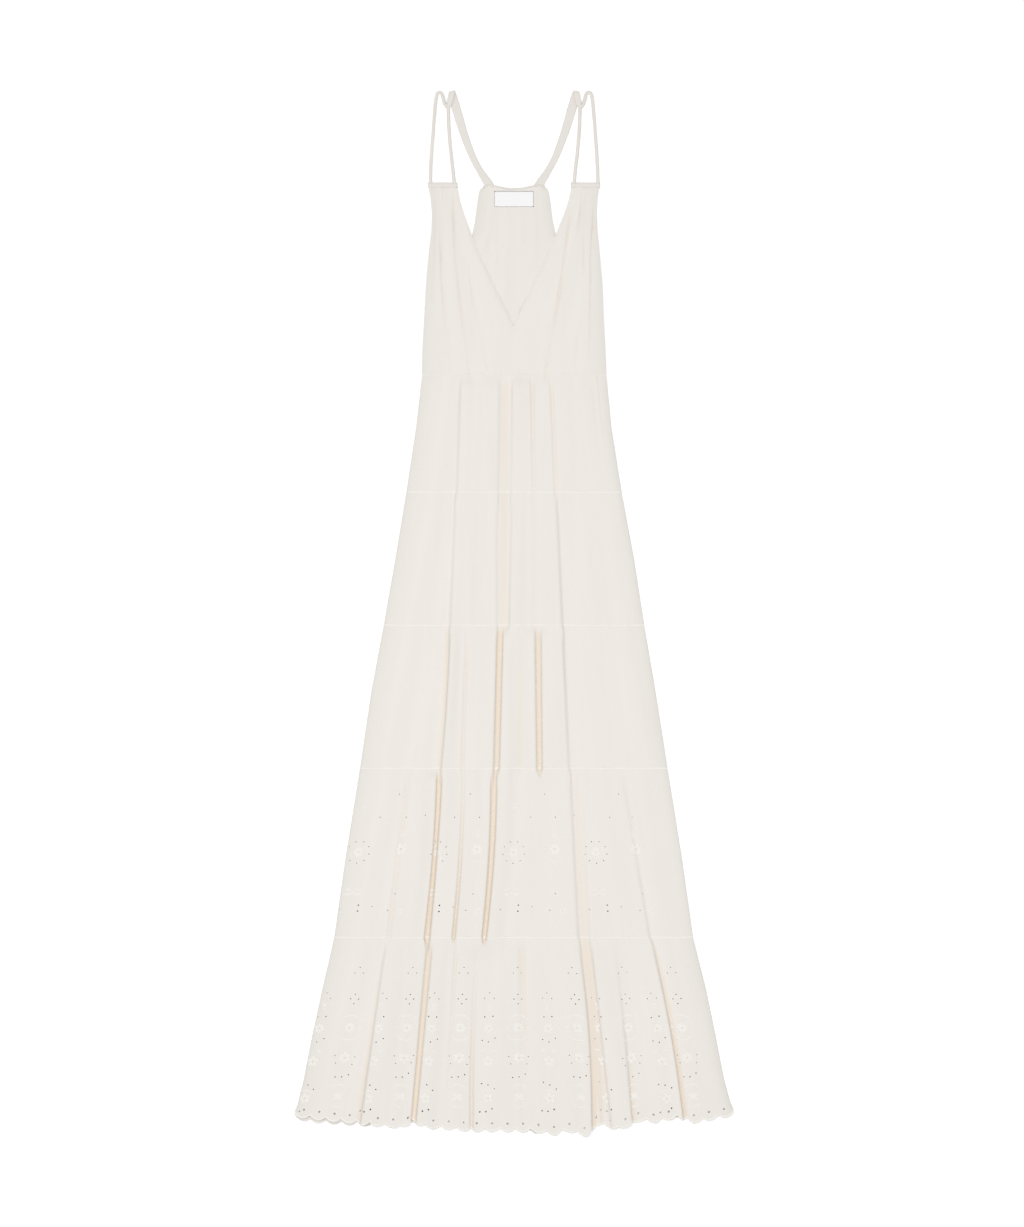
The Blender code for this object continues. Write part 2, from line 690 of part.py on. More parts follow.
def bodice_back(material):
    """The bodice back, flat underneath, with two soft ribs raised on the side that shows."""
    wall = Wall()
    under_binding = (BINDING_RADIUS + SEAM_GAP) / UNIT
    for index, row in enumerate(BACK_BODICE_ROWS):
        cols = (row.left,) + BACK_COLUMNS + (row.right,)
        for place, col in enumerate(cols):
            at_row = row.row
            if index == 0:
                at_row = read_table(NECK_BINDING, "col", "row", col) + under_binding
            raised = col in BACK_RIBS and RIB_ROWS[0] < row.row < RIB_ROWS[1]
            half = 0.5 * (BACK_WALL + (RIB_HEIGHT if raised else 0.0))
            wall.add_point((index, place), (chart_x(col), chart_y(at_row), half), (0, 0, 1), half)
    wall.add_grid(len(BACK_BODICE_ROWS), len(cols))
    return wall.build("bodice_back", material)


def smooth_path(points, steps):
    """A smooth curve through points of any dimension, with equal steps between each pair."""
    path = []
    padded = [points[0]] + list(points) + [points[-1]]
    for index in range(1, len(padded) - 2):
        before, start, end, after = padded[index - 1:index + 3]
        for step in range(steps):
            t = step / steps
            point = []
            for p0, p1, p2, p3 in zip(before, start, end, after):
                linear = (p2 - p0) * t
                square = (2 * p0 - 5 * p1 + 4 * p2 - p3) * t * t
                cube = (3 * p1 - 3 * p2 + p3 - p0) * t * t * t
                point.append(p1 + 0.5 * (linear + square + cube))
            path.append(tuple(point))
    path.append(tuple(points[-1]))
    return path


def cord(name, points, radius, material, steps=3):
    """A round cord along a smooth path, with filled ends."""
    curve = bpy.data.curves.new(name, "CURVE")
    curve.dimensions = "3D"
    path = smooth_path(points, steps)
    spline = curve.splines.new("POLY")
    spline.points.add(len(path) - 1)
    for point, place in zip(spline.points, path):
        point.co = (place[0], place[1], place[2], 1.0)
    curve.bevel_depth = radius
    curve.bevel_resolution = 2
    curve.render_resolution_u = 0
    curve.use_fill_caps = True
    curve.materials.append(material)
    piece = bpy.data.objects.new(name, curve)
    bpy.context.collection.objects.link(piece)
    return piece


def strap_cord(name, table, mirrored, material):
    """One of the cords between a shoulder band and the end of the back strap."""
    points = []
    for point in table:
        col = mirror_col(point.col) if mirrored else point.col
        points.append((chart_x(col), chart_y(point.row), CORD_HEIGHT * MM))
    return cord(name, points, CORD_RADIUS, material)


def back_strap(name, mirrored, material):
    """The flat strap, turned over at its top."""
    side = -1.0 if mirrored else 1.0
    rows = [(point.col, point.row, point.height, point.width) for point in BACK_STRAP]
    centre = [Vector((side * chart_x(col), chart_y(row), height * MM)) for col, row, height, _ in rows]
    wall = Wall()
    cols = 3
    for index, (place, entry) in enumerate(zip(centre, rows)):
        before = centre[max(index - 1, 0)]
        after = centre[min(index + 1, len(centre) - 1)]
        heading = (after - before).normalized()
        lean = Vector((side * 0.28 if index else 0.0, -1.0, 0.0)).normalized()
        if 0 < index < 4:
            lean = -heading
        sideways = Vector((-lean.y, lean.x, 0.0)).normalized()
        across = heading.cross(sideways).normalized()
        for col in range(cols):
            offset = (col / (cols - 1) - 0.5) * entry[3] * MM
            wall.add_point((index, col), place + sideways * offset, across, 0.5 * STRAP_WALL)
    wall.add_grid(len(rows), cols)
    return wall.build(name, material)


def flat_piece(name, cols, rows, middle, thickness, material, bulge=0.0, bevel=0.0):
    """A small flat rectangle between two chart columns and two chart rows."""
    wall = Wall()
    count = 5
    for index, row in enumerate(rows):
        for col in range(count):
            share = col / (count - 1)
            x = chart_x(between(cols[0], cols[1], share))
            lift = bulge * math.sin(math.pi * share)
            wall.add_point((index, col), (x, chart_y(row) + lift, middle), (0, 0, 1), 0.5 * thickness)
    wall.add_grid(len(rows), count)
    piece = wall.build(name, material)
    if bevel:
        rounded = piece.modifiers.new("rounded", "BEVEL")
        rounded.width = bevel
        rounded.segments = 1
        rounded.limit_method = "ANGLE"
        rounded.angle_limit = math.radians(50)
    return piece


def main():
    for thing in list(bpy.data.objects):
        bpy.data.objects.remove(thing, do_unlink=True)

    cloth = make_material("cloth", CREAM, 0.9)
    trim = make_material("trim", CREAM, 0.85)
    tape = make_material("label_tape", WHITE, 0.6)

    for tier in range(1, 5):
        front_tier(tier, cloth)
        back_tier(tier, cloth)
    front_hem_tier(cloth)
    back_hem_tier(cloth)
    bodice_front(cloth)
    bodice_back(cloth)

    binding = [(chart_x(p.col), chart_y(p.row), 1.6 * MM) for p in NECK_BINDING]
    cord("neck_binding", binding, BINDING_RADIUS, trim, steps=2)
    label_middle = BACK_WALL + SEAM_GAP + 0.5 * LABEL_WALL
    flat_piece("neck_label", LABEL_COLS, LABEL_ROWS, label_middle, LABEL_WALL, tape)

    for side, mirrored in (("left", False), ("right", True)):
        cols = [mirror_col(col) for col in reversed(BAND_LEFT)] if mirrored else BAND_LEFT
        band_middle = 0.1 * MM + 0.5 * BAND_WALL
        band_rows = (BAND_TOP, BAND_BOTTOM)
        flat_piece("shoulder_band_" + side, cols, band_rows, band_middle, BAND_WALL, trim, bevel=0.8 * MM)
        strap_cord("strap_outer_" + side, OUTER_CORD, mirrored, trim)
        strap_cord("strap_inner_" + side, INNER_CORD, mirrored, trim)
        back_strap("strap_back_" + side, mirrored, trim)


main()
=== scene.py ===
"""A cotton maxi dress laid flat: cloth, seams, cutwork, straps, label, floor, light and camera.

Each sheet of cloth is worked out as rows of points that run from its left edge to its right one.
Seams, satin stitch and eyelets are then laid on those same points, so they follow every fold.
"""
import math
import random
from collections import namedtuple
from functools import partial

import bmesh
import bpy
import numpy as np
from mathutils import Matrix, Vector, geometry


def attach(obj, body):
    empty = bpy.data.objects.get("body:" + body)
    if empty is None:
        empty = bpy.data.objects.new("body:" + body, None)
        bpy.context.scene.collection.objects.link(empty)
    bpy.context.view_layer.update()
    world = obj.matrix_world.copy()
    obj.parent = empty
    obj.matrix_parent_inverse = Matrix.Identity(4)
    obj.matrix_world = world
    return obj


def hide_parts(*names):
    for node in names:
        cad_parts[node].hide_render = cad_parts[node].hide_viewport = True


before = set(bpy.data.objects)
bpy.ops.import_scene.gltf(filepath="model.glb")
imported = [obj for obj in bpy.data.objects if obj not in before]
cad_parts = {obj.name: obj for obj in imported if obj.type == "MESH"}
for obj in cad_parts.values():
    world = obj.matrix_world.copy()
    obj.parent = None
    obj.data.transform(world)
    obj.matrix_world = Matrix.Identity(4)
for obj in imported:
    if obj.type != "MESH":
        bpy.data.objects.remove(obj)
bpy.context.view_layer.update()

# The outline is drafted on a chart: columns count to the right and rows count down to the hem.
UNIT = 0.0014            # size of one column or row, in metres
CENTRE_COL = 514.1       # the dress's middle line
CENTRE_ROW = 613.16      # halfway down the dress
IMAGE_COLS = 1024        # columns and rows that the camera shows
IMAGE_ROWS = 1227

MM = 0.001
TURN = 2.0 * math.pi
UPWARDS = Vector((0.0, 0.0, 1.0))
CLOTH = 0.5 * MM         # thickness of one layer
ROW_STEP = 5.0 * MM      # spacing of the rows of points down the cloth
PANEL_STEP = 1.9 * MM    # spacing of the points across it
WELD = 0.02 * MM         # points closer than this are one point

# Front cloth. Its heights are counted from LOW, the lowest level that its folds reach.
LOW = 2.6 * MM
REST_RISE = 1.4 * MM     # flat cloth
EDGE_START = 1.35 * MM   # the side edges start this far above the floor
ROLL = 14.0 * MM         # width of a rolled side edge
ROLL_STEPS = 9
DROP_RUN = 28.0 * MM     # cloth comes down from a lip over this distance
TURN_LENGTH = 4.7 * MM   # cloth in one turn of a lip
LAP = 1.0 * MM           # cloth between the two turns
LIP_STEPS = 7
CREASE_STEPS = 12
LEAST_HEIGHT = 2.1 * MM  # gathers and seams lower the cloth no further, so it stays over the back
SEAM_HOLD = 16.0 * MM    # below a seam, the cloth takes this long to leave the seam's own line
# A fold this deep takes the whole painted fold shade.
FOLD_DEPTH = 4.0 * MM    # a fold this deep takes the whole warm shade
# The painted shade of the side edges fades over this distance.
SIDE_FADE = 11.0 * MM    # the shade of the side edges fades over this distance

# Back cloth, which lies on the floor.
BACK_REST = 0.4 * MM

# Scalloped hem.
LOBE = 22.0 * MM
LOBE_DEPTH = 6.0 * MM
LOBE_BLEND = 20.0 * MM   # the scallops start this far above the edge
EYELET_HEIGHT = 12.0 * MM

# One motif of each border stands at this chart column and row, and the others repeat beside it.
BAND_START = (513.5, 852.0)
BAND_PITCH = 61.0 * MM
HEM_START = (518.8, 1060.0)
HEM_PITCH = 43.5 * MM

# Radii of the eyelets, in millimetres.
PINHOLE = 0.72
RING_EYELET = 0.74
SMALL_EYELET = 0.88
EYELET = 0.98
BOW_EYELET = 1.15
HEM_EYELET = 1.3
SCALLOP_EYELET = 1.6
HOLE_SIDES = 12

SEAM_HALF = 1.3 * MM
SEAM_RISE = 0.14 * MM

# Seeds of the random draws; a tier's own number is added to the first three.
FRONT_SEED = 40
BACK_SEED = 70
SEAM_SEED = 90
BODICE_SEEDS = {"left": 11, "right": 12}
BACK_BODICE_SEED = 5
BAND_SEEDS = {"left": 3, "right": 4}

# Slow waves: lengths in millimetres and the height of the longest.
Waves = namedtuple("Waves", "lengths height")
FRONT_WAVES = Waves((17.0, 29.0, 43.0, 71.0), 0.16)
BACK_WAVES = Waves((23.0, 37.0, 61.0), 0.16)
BODICE_WAVES = Waves((13.0, 21.0, 34.0), 0.12)
BACK_BODICE_WAVES = Waves((16.0, 27.0, 45.0), 0.14)

# Gathers below a seam: ranges in millimetres. A long gather is a share of a short one's depth.
LONG_GATHERS = 0.22      # share of the gathers that are long
GATHER_DEPTHS = (0.22, 0.6)
GATHER_SPACING = (4.5, 13.0)
GatherKind = namedtuple("GatherKind", "depth_share reaches halves")
LONG_GATHER = GatherKind(0.75, (70.0, 150.0), (2.6, 4.2))
SHORT_GATHER = GatherKind(1.0, (14.0, 50.0), (1.8, 3.0))

# Gathers of each bodice half: how many, places as shares of its width, the rest in millimetres.
BodiceGathers = namedtuple("BodiceGathers", "count places halves depths reaches")
BAND_GATHERS = BodiceGathers(11, (0.04, 0.96), (1.2, 2.0), (0.3, 0.7), (8.0, 34.0))
WAIST_GATHERS = BodiceGathers(13, (0.04, 0.9), (1.8, 3.0), (0.25, 0.6), (8.0, 40.0))

Edge = namedtuple("Edge", "row left right")
SKIRT_EDGES = [Edge(*row) for row in (
    (375, 422.3, 606.2), (428, 416.3, 611.3), (492, 406.6, 621.4), (560, 395.4, 634.0),
    (625, 384.0, 644.0), (692, 371.5, 655.4), (768, 360.3, 667.3), (860, 345.5, 682.0),
    (937, 334.6, 692.8), (992, 322.6, 705.8), (1040, 312.6, 715.3), (1088, 303.6, 724.0),
    (1125, 294.8, 733.4),
)]
SEAM_ROWS = (374.8, 492.0, 625.0, 768.0, 937.0, 1125.0)

# Folds of the front, tier by tier and from left to right. `over` says which side lies on top, or
# "none" for a plain crease. `top` and `bottom` are chart columns at the tier's two seams, and
# `bow` moves the middle sideways. `start` and `end` are the tuck at the two seams, or a crease's
# depth in millimetres, and `width` is half a crease's width in millimetres.
Fold = namedtuple("Fold", "tier over top bottom bow start end width")
FOLDS = [Fold(*row) for row in (
    (1, "right", 461.0, 457.5, 0.0, 0.28, 0.24, 0.0),
    (1, "left", 499.5, 498.0, 0.0, 0.22, 0.18, 0.0),
    (1, "right", 512.5, 511.5, 0.0, 0.28, 0.18, 0.0),
    (1, "none", 532.0, 534.0, 0.0, 3.2, 1.4, 4.2),
    (1, "none", 551.0, 556.0, 0.0, 2.5, 2.0, 4.0),
    (1, "none", 592.0, 603.0, 0.0, 1.2, 0.4, 4.0),
    (2, "right", 456.5, 450.5, 0.0, 0.22, 0.26, 0.0),
    (2, "left", 497.0, 496.5, 0.0, 0.17, 0.22, 0.0),
    (2, "right", 512.0, 509.5, 0.0, 0.20, 0.30, 0.0),
    (2, "none", 535.0, 535.5, 0.0, 1.0, 1.6, 6.0),
    (2, "left", 556.0, 562.0, 0.0, 0.24, 0.28, 0.0),
    (3, "right", 450.6, 441.5, 1.2, 0.42, 0.36, 0.0),
    (3, "none", 467.0, 462.5, 0.0, 1.8, 2.0, 3.5),
    (3, "left", 497.0, 493.5, 0.0, 0.42, 0.38, 0.0),
    (3, "right", 503.5, 499.5, 0.0, 0.50, 0.42, 0.0),
    (3, "left", 534.8, 536.6, 0.0, 0.36, 0.40, 0.0),
    (3, "right", 541.2, 542.4, 0.0, 0.36, 0.40, 0.0),
    (3, "left", 562.0, 568.5, 0.0, 0.34, 0.22, 0.0),
    (4, "none", 409.0, 388.5, 0.0, 1.6, 2.2, 5.0),
    (4, "left", 437.0, 424.0, 2.2, 0.45, 0.65, 0.0),
    (4, "right", 443.0, 430.2, 0.8, 0.45, 0.42, 0.0),
    (4, "none", 463.6, 453.7, 2.0, 1.2, 5.6, 3.6),
    (4, "left", 491.0, 481.8, 2.4, 0.42, 0.52, 0.0),
    (4, "right", 497.4, 486.8, 2.4, 0.40, 0.50, 0.0),
    (4, "left", 569.5, 578.0, 0.0, 0.22, 0.27, 0.0),
    (4, "right", 581.0, 590.0, 0.0, 0.10, 0.20, 0.0),
    (4, "left", 621.0, 649.0, 0.0, 0.10, 0.22, 0.0),
    (5, "right", 387.0, 360.5, 0.0, 0.26, 0.42, 0.0),
    (5, "left", 427.2, 410.8, 0.0, 0.35, 0.46, 0.0),
    (5, "right", 433.4, 416.0, 0.0, 0.35, 0.44, 0.0),
    (5, "none", 457.0, 445.0, 0.0, 2.4, 0.3, 3.5),
    (5, "none", 478.0, 471.5, -2.0, 0.6, 4.2, 4.0),
    (5, "none", 521.5, 524.0, 0.0, 3.4, 0.8, 6.5),
    (5, "left", 578.0, 591.5, 4.0, 0.32, 0.55, 0.0),
    (5, "right", 590.5, 612.0, 0.0, 0.35, 0.30, 0.0),
    (5, "left", 613.0, 632.0, 1.5, 0.05, 0.45, 0.0),
    (5, "left", 650.5, 683.0, 3.0, 0.32, 0.68, 0.0),
)]

# Lowest chart row of the scallops along the front hem and along the back hem.
Hem = namedtuple("Hem", "col row")
FRONT_HEM = [Hem(*row) for row in (
    (290, 1116.5), (330, 1121.5), (400, 1128.5), (412, 1122.5), (430, 1128.5), (478, 1131.5),
    (532, 1132.0), (556, 1135.5), (566, 1131.5), (588, 1136.5), (597, 1125.5), (618, 1130.0),
    (640, 1121.5), (656, 1123.0), (676, 1118.0), (694, 1123.5), (716, 1119.0), (736, 1115.5),
)]
BACK_HEM = [Hem(*row) for row in (
    (290, 1117.5), (308, 1122.5), (345, 1125.5), (370, 1126.5), (390, 1122.0), (500, 1124.0),
    (522, 1132.5), (536, 1134.0), (552, 1128.0), (620, 1121.0), (700, 1116.0), (736, 1113.0),
)]

BodiceRow = namedtuple("BodiceRow", "row left inner_left inner_right right base")
BODICE_ROWS = [BodiceRow(*row) for row in (
    (188.2, 428.9, 457.8, 571.4, 599.2, 0.9),
    (200.0, 430.8, 460.0, 568.8, 597.4, 0.9),
    (214.0, 431.9, 464.0, 564.2, 596.8, 1.0),
    (231.0, 431.6, 470.0, 557.4, 597.4, 2.6),
    (250.0, 429.2, 477.5, 549.6, 599.2, 2.6),
    (284.0, 426.2, 493.5, 533.4, 602.2, 2.6),
    (325.0, 424.1, 513.4, 513.4, 603.8, 2.6),
    (350.0, 422.6, 513.4, 513.4, 605.2, 2.6),
    (374.6, 422.3, 513.4, 513.4, 606.2, 2.6),
)]
V_POINT_ROW = 325.0
V_POINT_COL = 513.4

# Creases of the bodice: chart columns at their two ends, rows they run between, depth at the
# upper end, the middle and the lower end in millimetres, and half-width in millimetres.
Crease = namedtuple("Crease", "top_col top_row low_col low_row start middle end width")
BODICE_CREASES = [Crease(*row) for row in (
    (453.3, 196, 454.0, 240, 0.9, 1.6, 1.3, 1.8),
    (454.6, 249, 459.0, 292, 1.2, 0.9, 1.5, 1.8),
    (460.0, 301, 469.5, 372, 1.3, 0.9, 1.0, 2.0),
    (434.2, 200, 434.2, 262, 0.7, 0.9, 1.1, 1.8),
    (432.9, 271, 430.4, 322, 1.0, 0.8, 0.3, 1.8),
    (440.3, 236, 441.5, 276, 0.7, 1.7, 1.2, 1.8),
    (442.2, 285, 445.5, 324, 1.3, 0.9, 0.5, 1.9),
    (447.5, 333, 451.0, 374, 0.5, 0.6, 0.7, 2.0),
    (468.5, 262, 473.5, 302, 0.4, 0.9, 0.8, 1.8),
    (477.0, 311, 487.0, 366, 0.4, 0.6, 1.0, 1.9),
    (582.5, 194, 577.6, 232, 0.5, 1.7, 0.6, 1.8),
    (571.0, 208, 566.5, 244, 0.6, 1.2, 1.3, 1.9),
    (565.4, 253, 560.6, 284, 1.2, 1.6, 1.8, 2.2),
    (559.3, 293, 553.5, 330, 1.8, 1.4, 0.8, 2.2),
    (551.5, 339, 545.5, 374, 0.6, 0.6, 1.0, 2.2),
    (594.0, 208, 591.2, 250, 0.6, 1.8, 1.3, 1.8),
    (591.0, 259, 590.0, 350, 1.3, 1.4, 0.8, 1.8),
    (585.5, 190, 584.5, 212, 0.7, 0.4, 0.2, 1.8),
    (584.3, 232, 584.0, 268, 0.3, 0.9, 0.8, 1.7),
    (579.6, 318, 575.5, 362, 0.3, 0.9, 0.4, 1.8),
    (551.0, 350, 550.0, 366, 0.3, 0.5, 0.2, 1.8),
)]
BACK_CREASES = [Crease(*row) for row in (
    (498.2, 222, 498.0, 262, 0.8, 1.4, 0.8, 1.6),
    (537.3, 214, 537.0, 264, 0.4, 0.9, 0.5, 1.7),
    (489.0, 240, 485.0, 282, 0.3, 0.7, 0.6, 2.0),
    (524.0, 226, 523.5, 248, 0.2, 0.6, 0.0, 1.7),
    (511.0, 205, 508.0, 330, 0.0, 0.4, 0.3, 4.0),
    (519.0, 296, 521.5, 326, 0.2, 0.9, 0.3, 2.4),
)]

BackRow = namedtuple("BackRow", "row left right")
BACK_BODICE_ROWS = [BackRow(*row) for row in (
    (190.0, 483.0, 545.4), (200.0, 479.5, 548.4), (214.0, 476.5, 551.4),
    (236.0, 472.0, 556.0), (252.0, 456.0, 572.0), (268.0, 430.5, 597.8),
    (300.0, 426.6, 600.8), (340.0, 424.6, 602.8), (374.6, 423.2, 605.4),
)]

StrapPoint = namedtuple("StrapPoint", "col row height width")
BACK_STRAP = [StrapPoint(*row) for row in (
    (489.6, 186.4, 1.3, 12.0), (488.4, 184.0, 1.2, 12.0), (479.5, 170.0, 1.0, 9.4),
    (472.2, 156.0, 1.0, 9.6), (464.6, 136.0, 1.0, 11.0), (457.8, 114.0, 1.0, 12.4),
    (453.4, 98.0, 1.0, 11.5), (452.2, 93.0, 1.3, 9.5), (451.9, 92.0, 2.8, 9.0),
    (451.9, 93.0, 4.3, 9.0), (450.8, 99.0, 4.6, 8.6), (448.6, 107.5, 4.6, 7.4),
)]
CordPoint = namedtuple("CordPoint", "col row")
OUTER_CORD = [CordPoint(*row) for row in (
    (430.3, 184.2), (431.2, 160.0), (433.2, 132.0), (435.0, 108.0), (435.9, 99.8),
    (436.7, 95.9), (437.7, 93.7), (439.6, 92.8), (441.5, 93.7), (442.5, 95.9),
    (443.3, 99.4), (444.4, 103.4), (446.6, 107.0),
)]
INNER_CORD = [CordPoint(*row) for row in (
    (454.5, 184.2), (452.3, 165.0), (450.2, 146.0),
    (448.8, 126.0), (448.3, 109.6), (448.6, 103.0),
)]
NECK_BINDING = [CordPoint(*row) for row in (
    (483.2, 187.2), (488.6, 185.2), (496.0, 186.6), (505.0, 188.6), (514.1, 189.2),
    (523.2, 188.6), (532.2, 186.6), (539.6, 185.2), (545.0, 187.2),
)]
CORD_RADIUS = 2.4 * MM
CORD_HEIGHT = 2.7 * MM   # of a cord's middle line, above the floor
BINDING_RADIUS = 1.3 * MM
BINDING_HEIGHT = 1.6 * MM

# Chart columns and rows that the shoulder bands and the label lie between.
BAND_COLS = (428.2, 457.4)
BAND_ROWS = (182.9, 188.0)
LABEL_COLS = (494.4, 533.6)
LABEL_ROWS = (191.2, 207.0)


def chart_x(col):
    """Distance right of the dress's middle line for a chart column."""
    return (col - CENTRE_COL) * UNIT


def chart_y(row):
    """Distance above the outline's middle for a chart row."""
    return (CENTRE_ROW - row) * UNIT


def mirror_col(col):
    """The chart column as far on the other side of the middle line."""
    return 2.0 * CENTRE_COL - col


def between(low, high, share):
    """The value a share of the way from low to high."""
    return low + (high - low) * share


def smooth(share):
    """A soft step from 0 to 1."""
    share = min(max(share, 0.0), 1.0)
    return share * share * (3.0 - 2.0 * share)


def read_table(rows, key, value, at):
    """Value of a table at a place, straight between its rows and held level past its ends."""
    places = [getattr(row, key) for row in rows]
    values = [getattr(row, value) for row in rows]
    return float(np.interp(at, places, values))


def use_camera():
    """A camera straight above the dress."""
    height = 6.0
    sensor = 36.0
    data = bpy.data.cameras.new("camera")
    data.sensor_fit = "VERTICAL"
    data.sensor_width = sensor
    data.sensor_height = sensor
    data.lens = sensor * height / (IMAGE_ROWS * UNIT)
    camera = bpy.data.objects.new("camera", data)
    bpy.context.collection.objects.link(camera)
    camera.location = (chart_x(0.5 * IMAGE_COLS), chart_y(0.5 * IMAGE_ROWS), height)
    bpy.context.scene.camera = camera


def highest_beside(zs, left, right):
    """The greatest height within a number of places to the left and right of each place."""
    padded = np.pad(zs, (left, right), mode="edge")
    return np.max([padded[offset:offset + len(zs)] for offset in range(left + right + 1)], axis=0)


def depth_between_walls(zs, reach, spare):
    """How far each place lies below the lower of the two walls beside it, less a spare depth."""
    walls = np.minimum(highest_beside(zs, reach, 0), highest_beside(zs, 0, reach))
    return walls - spare - zs


def hollow_line(xs, zs, full):
    """How deep each point of a cross-section lies in a fold, from 0 to 1 at the full depth; this share sets
    its painted shade.
    """
    slope = 0.15 * MM
    near_reach, near_spare = 21, 0.3 * full
    fold_reach, fold_spare, fold_full = 20, 0.09 * full, 1.15 * full
    wide_reach, wide_spare, wide_full = 40, 0.25 * full, 1.6 * full
    blur = 5
    grid_x, grid_z = top_line(xs, zs)
    slopes = [highest_beside(grid_z, step, step) - slope * step for step in range(1, near_reach, 2)]
    near = np.max(slopes, axis=0) - near_spare - grid_z
    fold = depth_between_walls(grid_z, fold_reach, fold_spare)
    wide = depth_between_walls(grid_z, wide_reach, wide_spare)
    line = np.max([near / full, fold / fold_full, wide / wide_full], axis=0)
    line = np.convolve(np.pad(line, blur // 2, mode="edge"), np.ones(blur) / blur, mode="valid")
    return np.clip(np.interp(xs, grid_x, line), 0.0, 1.0)


class Cloth:
    """A sheet of cloth as rows of points; u counts points to the right and v counts rows down.

    `run` and `drop` are the distances along the cloth to each point, across and down. How deep each
    point lies in a fold sets its share of painted fold shade, and `side`, how near it is to a rolled side
    edge, sets its share of painted edge shade.
    """

    def __init__(self, points, full=FOLD_DEPTH, sides=(1.0, 1.0)):
        self.points = np.array(points, dtype=float)
        self.rows, self.cols = self.points.shape[:2]
        across = np.linalg.norm(np.diff(self.points, axis=1), axis=2)
        down = np.linalg.norm(np.diff(self.points, axis=0), axis=2)
        self.run = np.concatenate([np.zeros((self.rows, 1)), np.cumsum(across, axis=1)], axis=1)
        self.drop = np.concatenate([np.zeros((1, self.cols)), np.cumsum(down, axis=0)], axis=0)
        right = np.gradient(self.points, axis=1)
        below = np.gradient(self.points, axis=0)
        normals = np.cross(below, right)
        self.normals = normals / np.linalg.norm(normals, axis=2)[:, :, None]
        # Share of painted fold shade at each point, from how deep it lies in a fold.
        self.painted_shade_depth = np.array([hollow_line(row[:, 0], row[:, 2], full) for row in self.points])
        # Share of painted edge shade near the rolled side edges.
        xs = self.points[:, :, 0]
        self.side = (sides[0] * np.exp(-(xs - xs[:, :1]) / SIDE_FADE)
                     + sides[1] * np.exp(-(xs[:, -1:] - xs) / SIDE_FADE))

    def read(self, table, u, v):
        """Value of a table of this cloth's points between them."""
        u = min(max(u, 0.0), self.cols - 1.0)
        v = min(max(v, 0.0), self.rows - 1.0)
        col = min(int(u), self.cols - 2)
        row = min(int(v), self.rows - 2)
        s, t = u - col, v - row
        upper = table[row][col] * (1 - s) + table[row][col + 1] * s
        lower = table[row + 1][col] * (1 - s) + table[row + 1][col + 1] * s
        return upper * (1 - t) + lower * t

    def spot(self, u, v, lift=0.0):
        """A point of the cloth, or one lifted off its face."""
        place = self.read(self.points, u, v)
        if lift:
            place = place + self.read(self.normals, u, v) * lift
        return Vector(place)

    def find(self, x, y):
        """The topmost place of the cloth over a point of the floor, or None."""
        upright = 1e-7
        middle = self.points[:, self.cols // 2, 1]
        v = float(np.interp(-y, -middle, np.arange(self.rows)))
        for _ in range(2):
            row = self.points[min(int(round(v)), self.rows - 1)]
            best = None
            for col in range(self.cols - 1):
                x0, x1 = row[col][0], row[col + 1][0]
                if min(x0, x1) <= x <= max(x0, x1) and abs(x1 - x0) > upright:
                    share = (x - x0) / (x1 - x0)
                    height = row[col][2] + (row[col + 1][2] - row[col][2]) * share
                    if best is None or height > best[1]:
                        best = (col + share, height)
            if best is None:
                return None
            column = self.points[:, int(best[0]), 1]
            v = float(np.interp(-y, -column, np.arange(self.rows)))
        return best[0], v

    def shift(self, place, across, down):
        """The place that lies some way across and down the cloth from another."""
        u, v = place
        col = min(max(int(round(u)), 0), self.cols - 1)
        target = self.read(self.drop, u, v) + down
        v = float(np.interp(target, self.drop[:, col], np.arange(self.rows)))
        row = min(max(int(round(v)), 0), self.rows - 1)
        target = float(np.interp(u, np.arange(self.cols), self.run[row])) + across
        u = float(np.interp(target, self.run[row], np.arange(self.cols)))
        return u, v


def new_piece(name, mesh, material, stands_for=()):
    """A finished piece of the dress: in the scene, on its body, with its finish."""
    piece = bpy.data.objects.new(name, mesh)
    bpy.context.collection.objects.link(piece)
    mesh.materials.clear()
    mesh.materials.append(material)
    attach(piece, "root")
    if stands_for:
        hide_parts(*stands_for)
    return piece


def thicken(piece):
    """Gives a sheet its thickness, equally on both sides, with rims that stay crisp."""
    rim_angle = math.radians(60.0)
    wall = piece.modifiers.new("thickness", "SOLIDIFY")
    wall.thickness = CLOTH
    wall.offset = 0.0
    wall.use_even_offset = False
    thin = piece.data
    evaluated = piece.evaluated_get(bpy.context.evaluated_depsgraph_get())
    piece.data = bpy.data.meshes.new_from_object(evaluated)
    piece.modifiers.remove(wall)
    bpy.data.meshes.remove(thin)
    piece.data.name = piece.name
    piece.data.set_sharp_from_angle(angle=rim_angle)


def mesh_from(name, points, faces, uvs=None, shades=None):
    """A smooth mesh from points and faces, with a place on the flat cloth for each point."""
    mesh = bpy.data.meshes.new(name)
    mesh.from_pydata([tuple(point) for point in points], [], faces)
    if uvs is not None:
        layer = mesh.uv_layers.new(name="flat_cloth")
        flat = np.array(uvs, dtype=float)
        corners = np.zeros(len(mesh.loops), dtype=int)
        mesh.loops.foreach_get("vertex_index", corners)
        layer.data.foreach_set("uv", flat[corners].ravel())
    for label, values in (shades or {}).items():
        mesh.attributes.new(label, "FLOAT", "POINT").data.foreach_set("value", values)
    mesh.shade_smooth()
    mesh.validate()
    return mesh


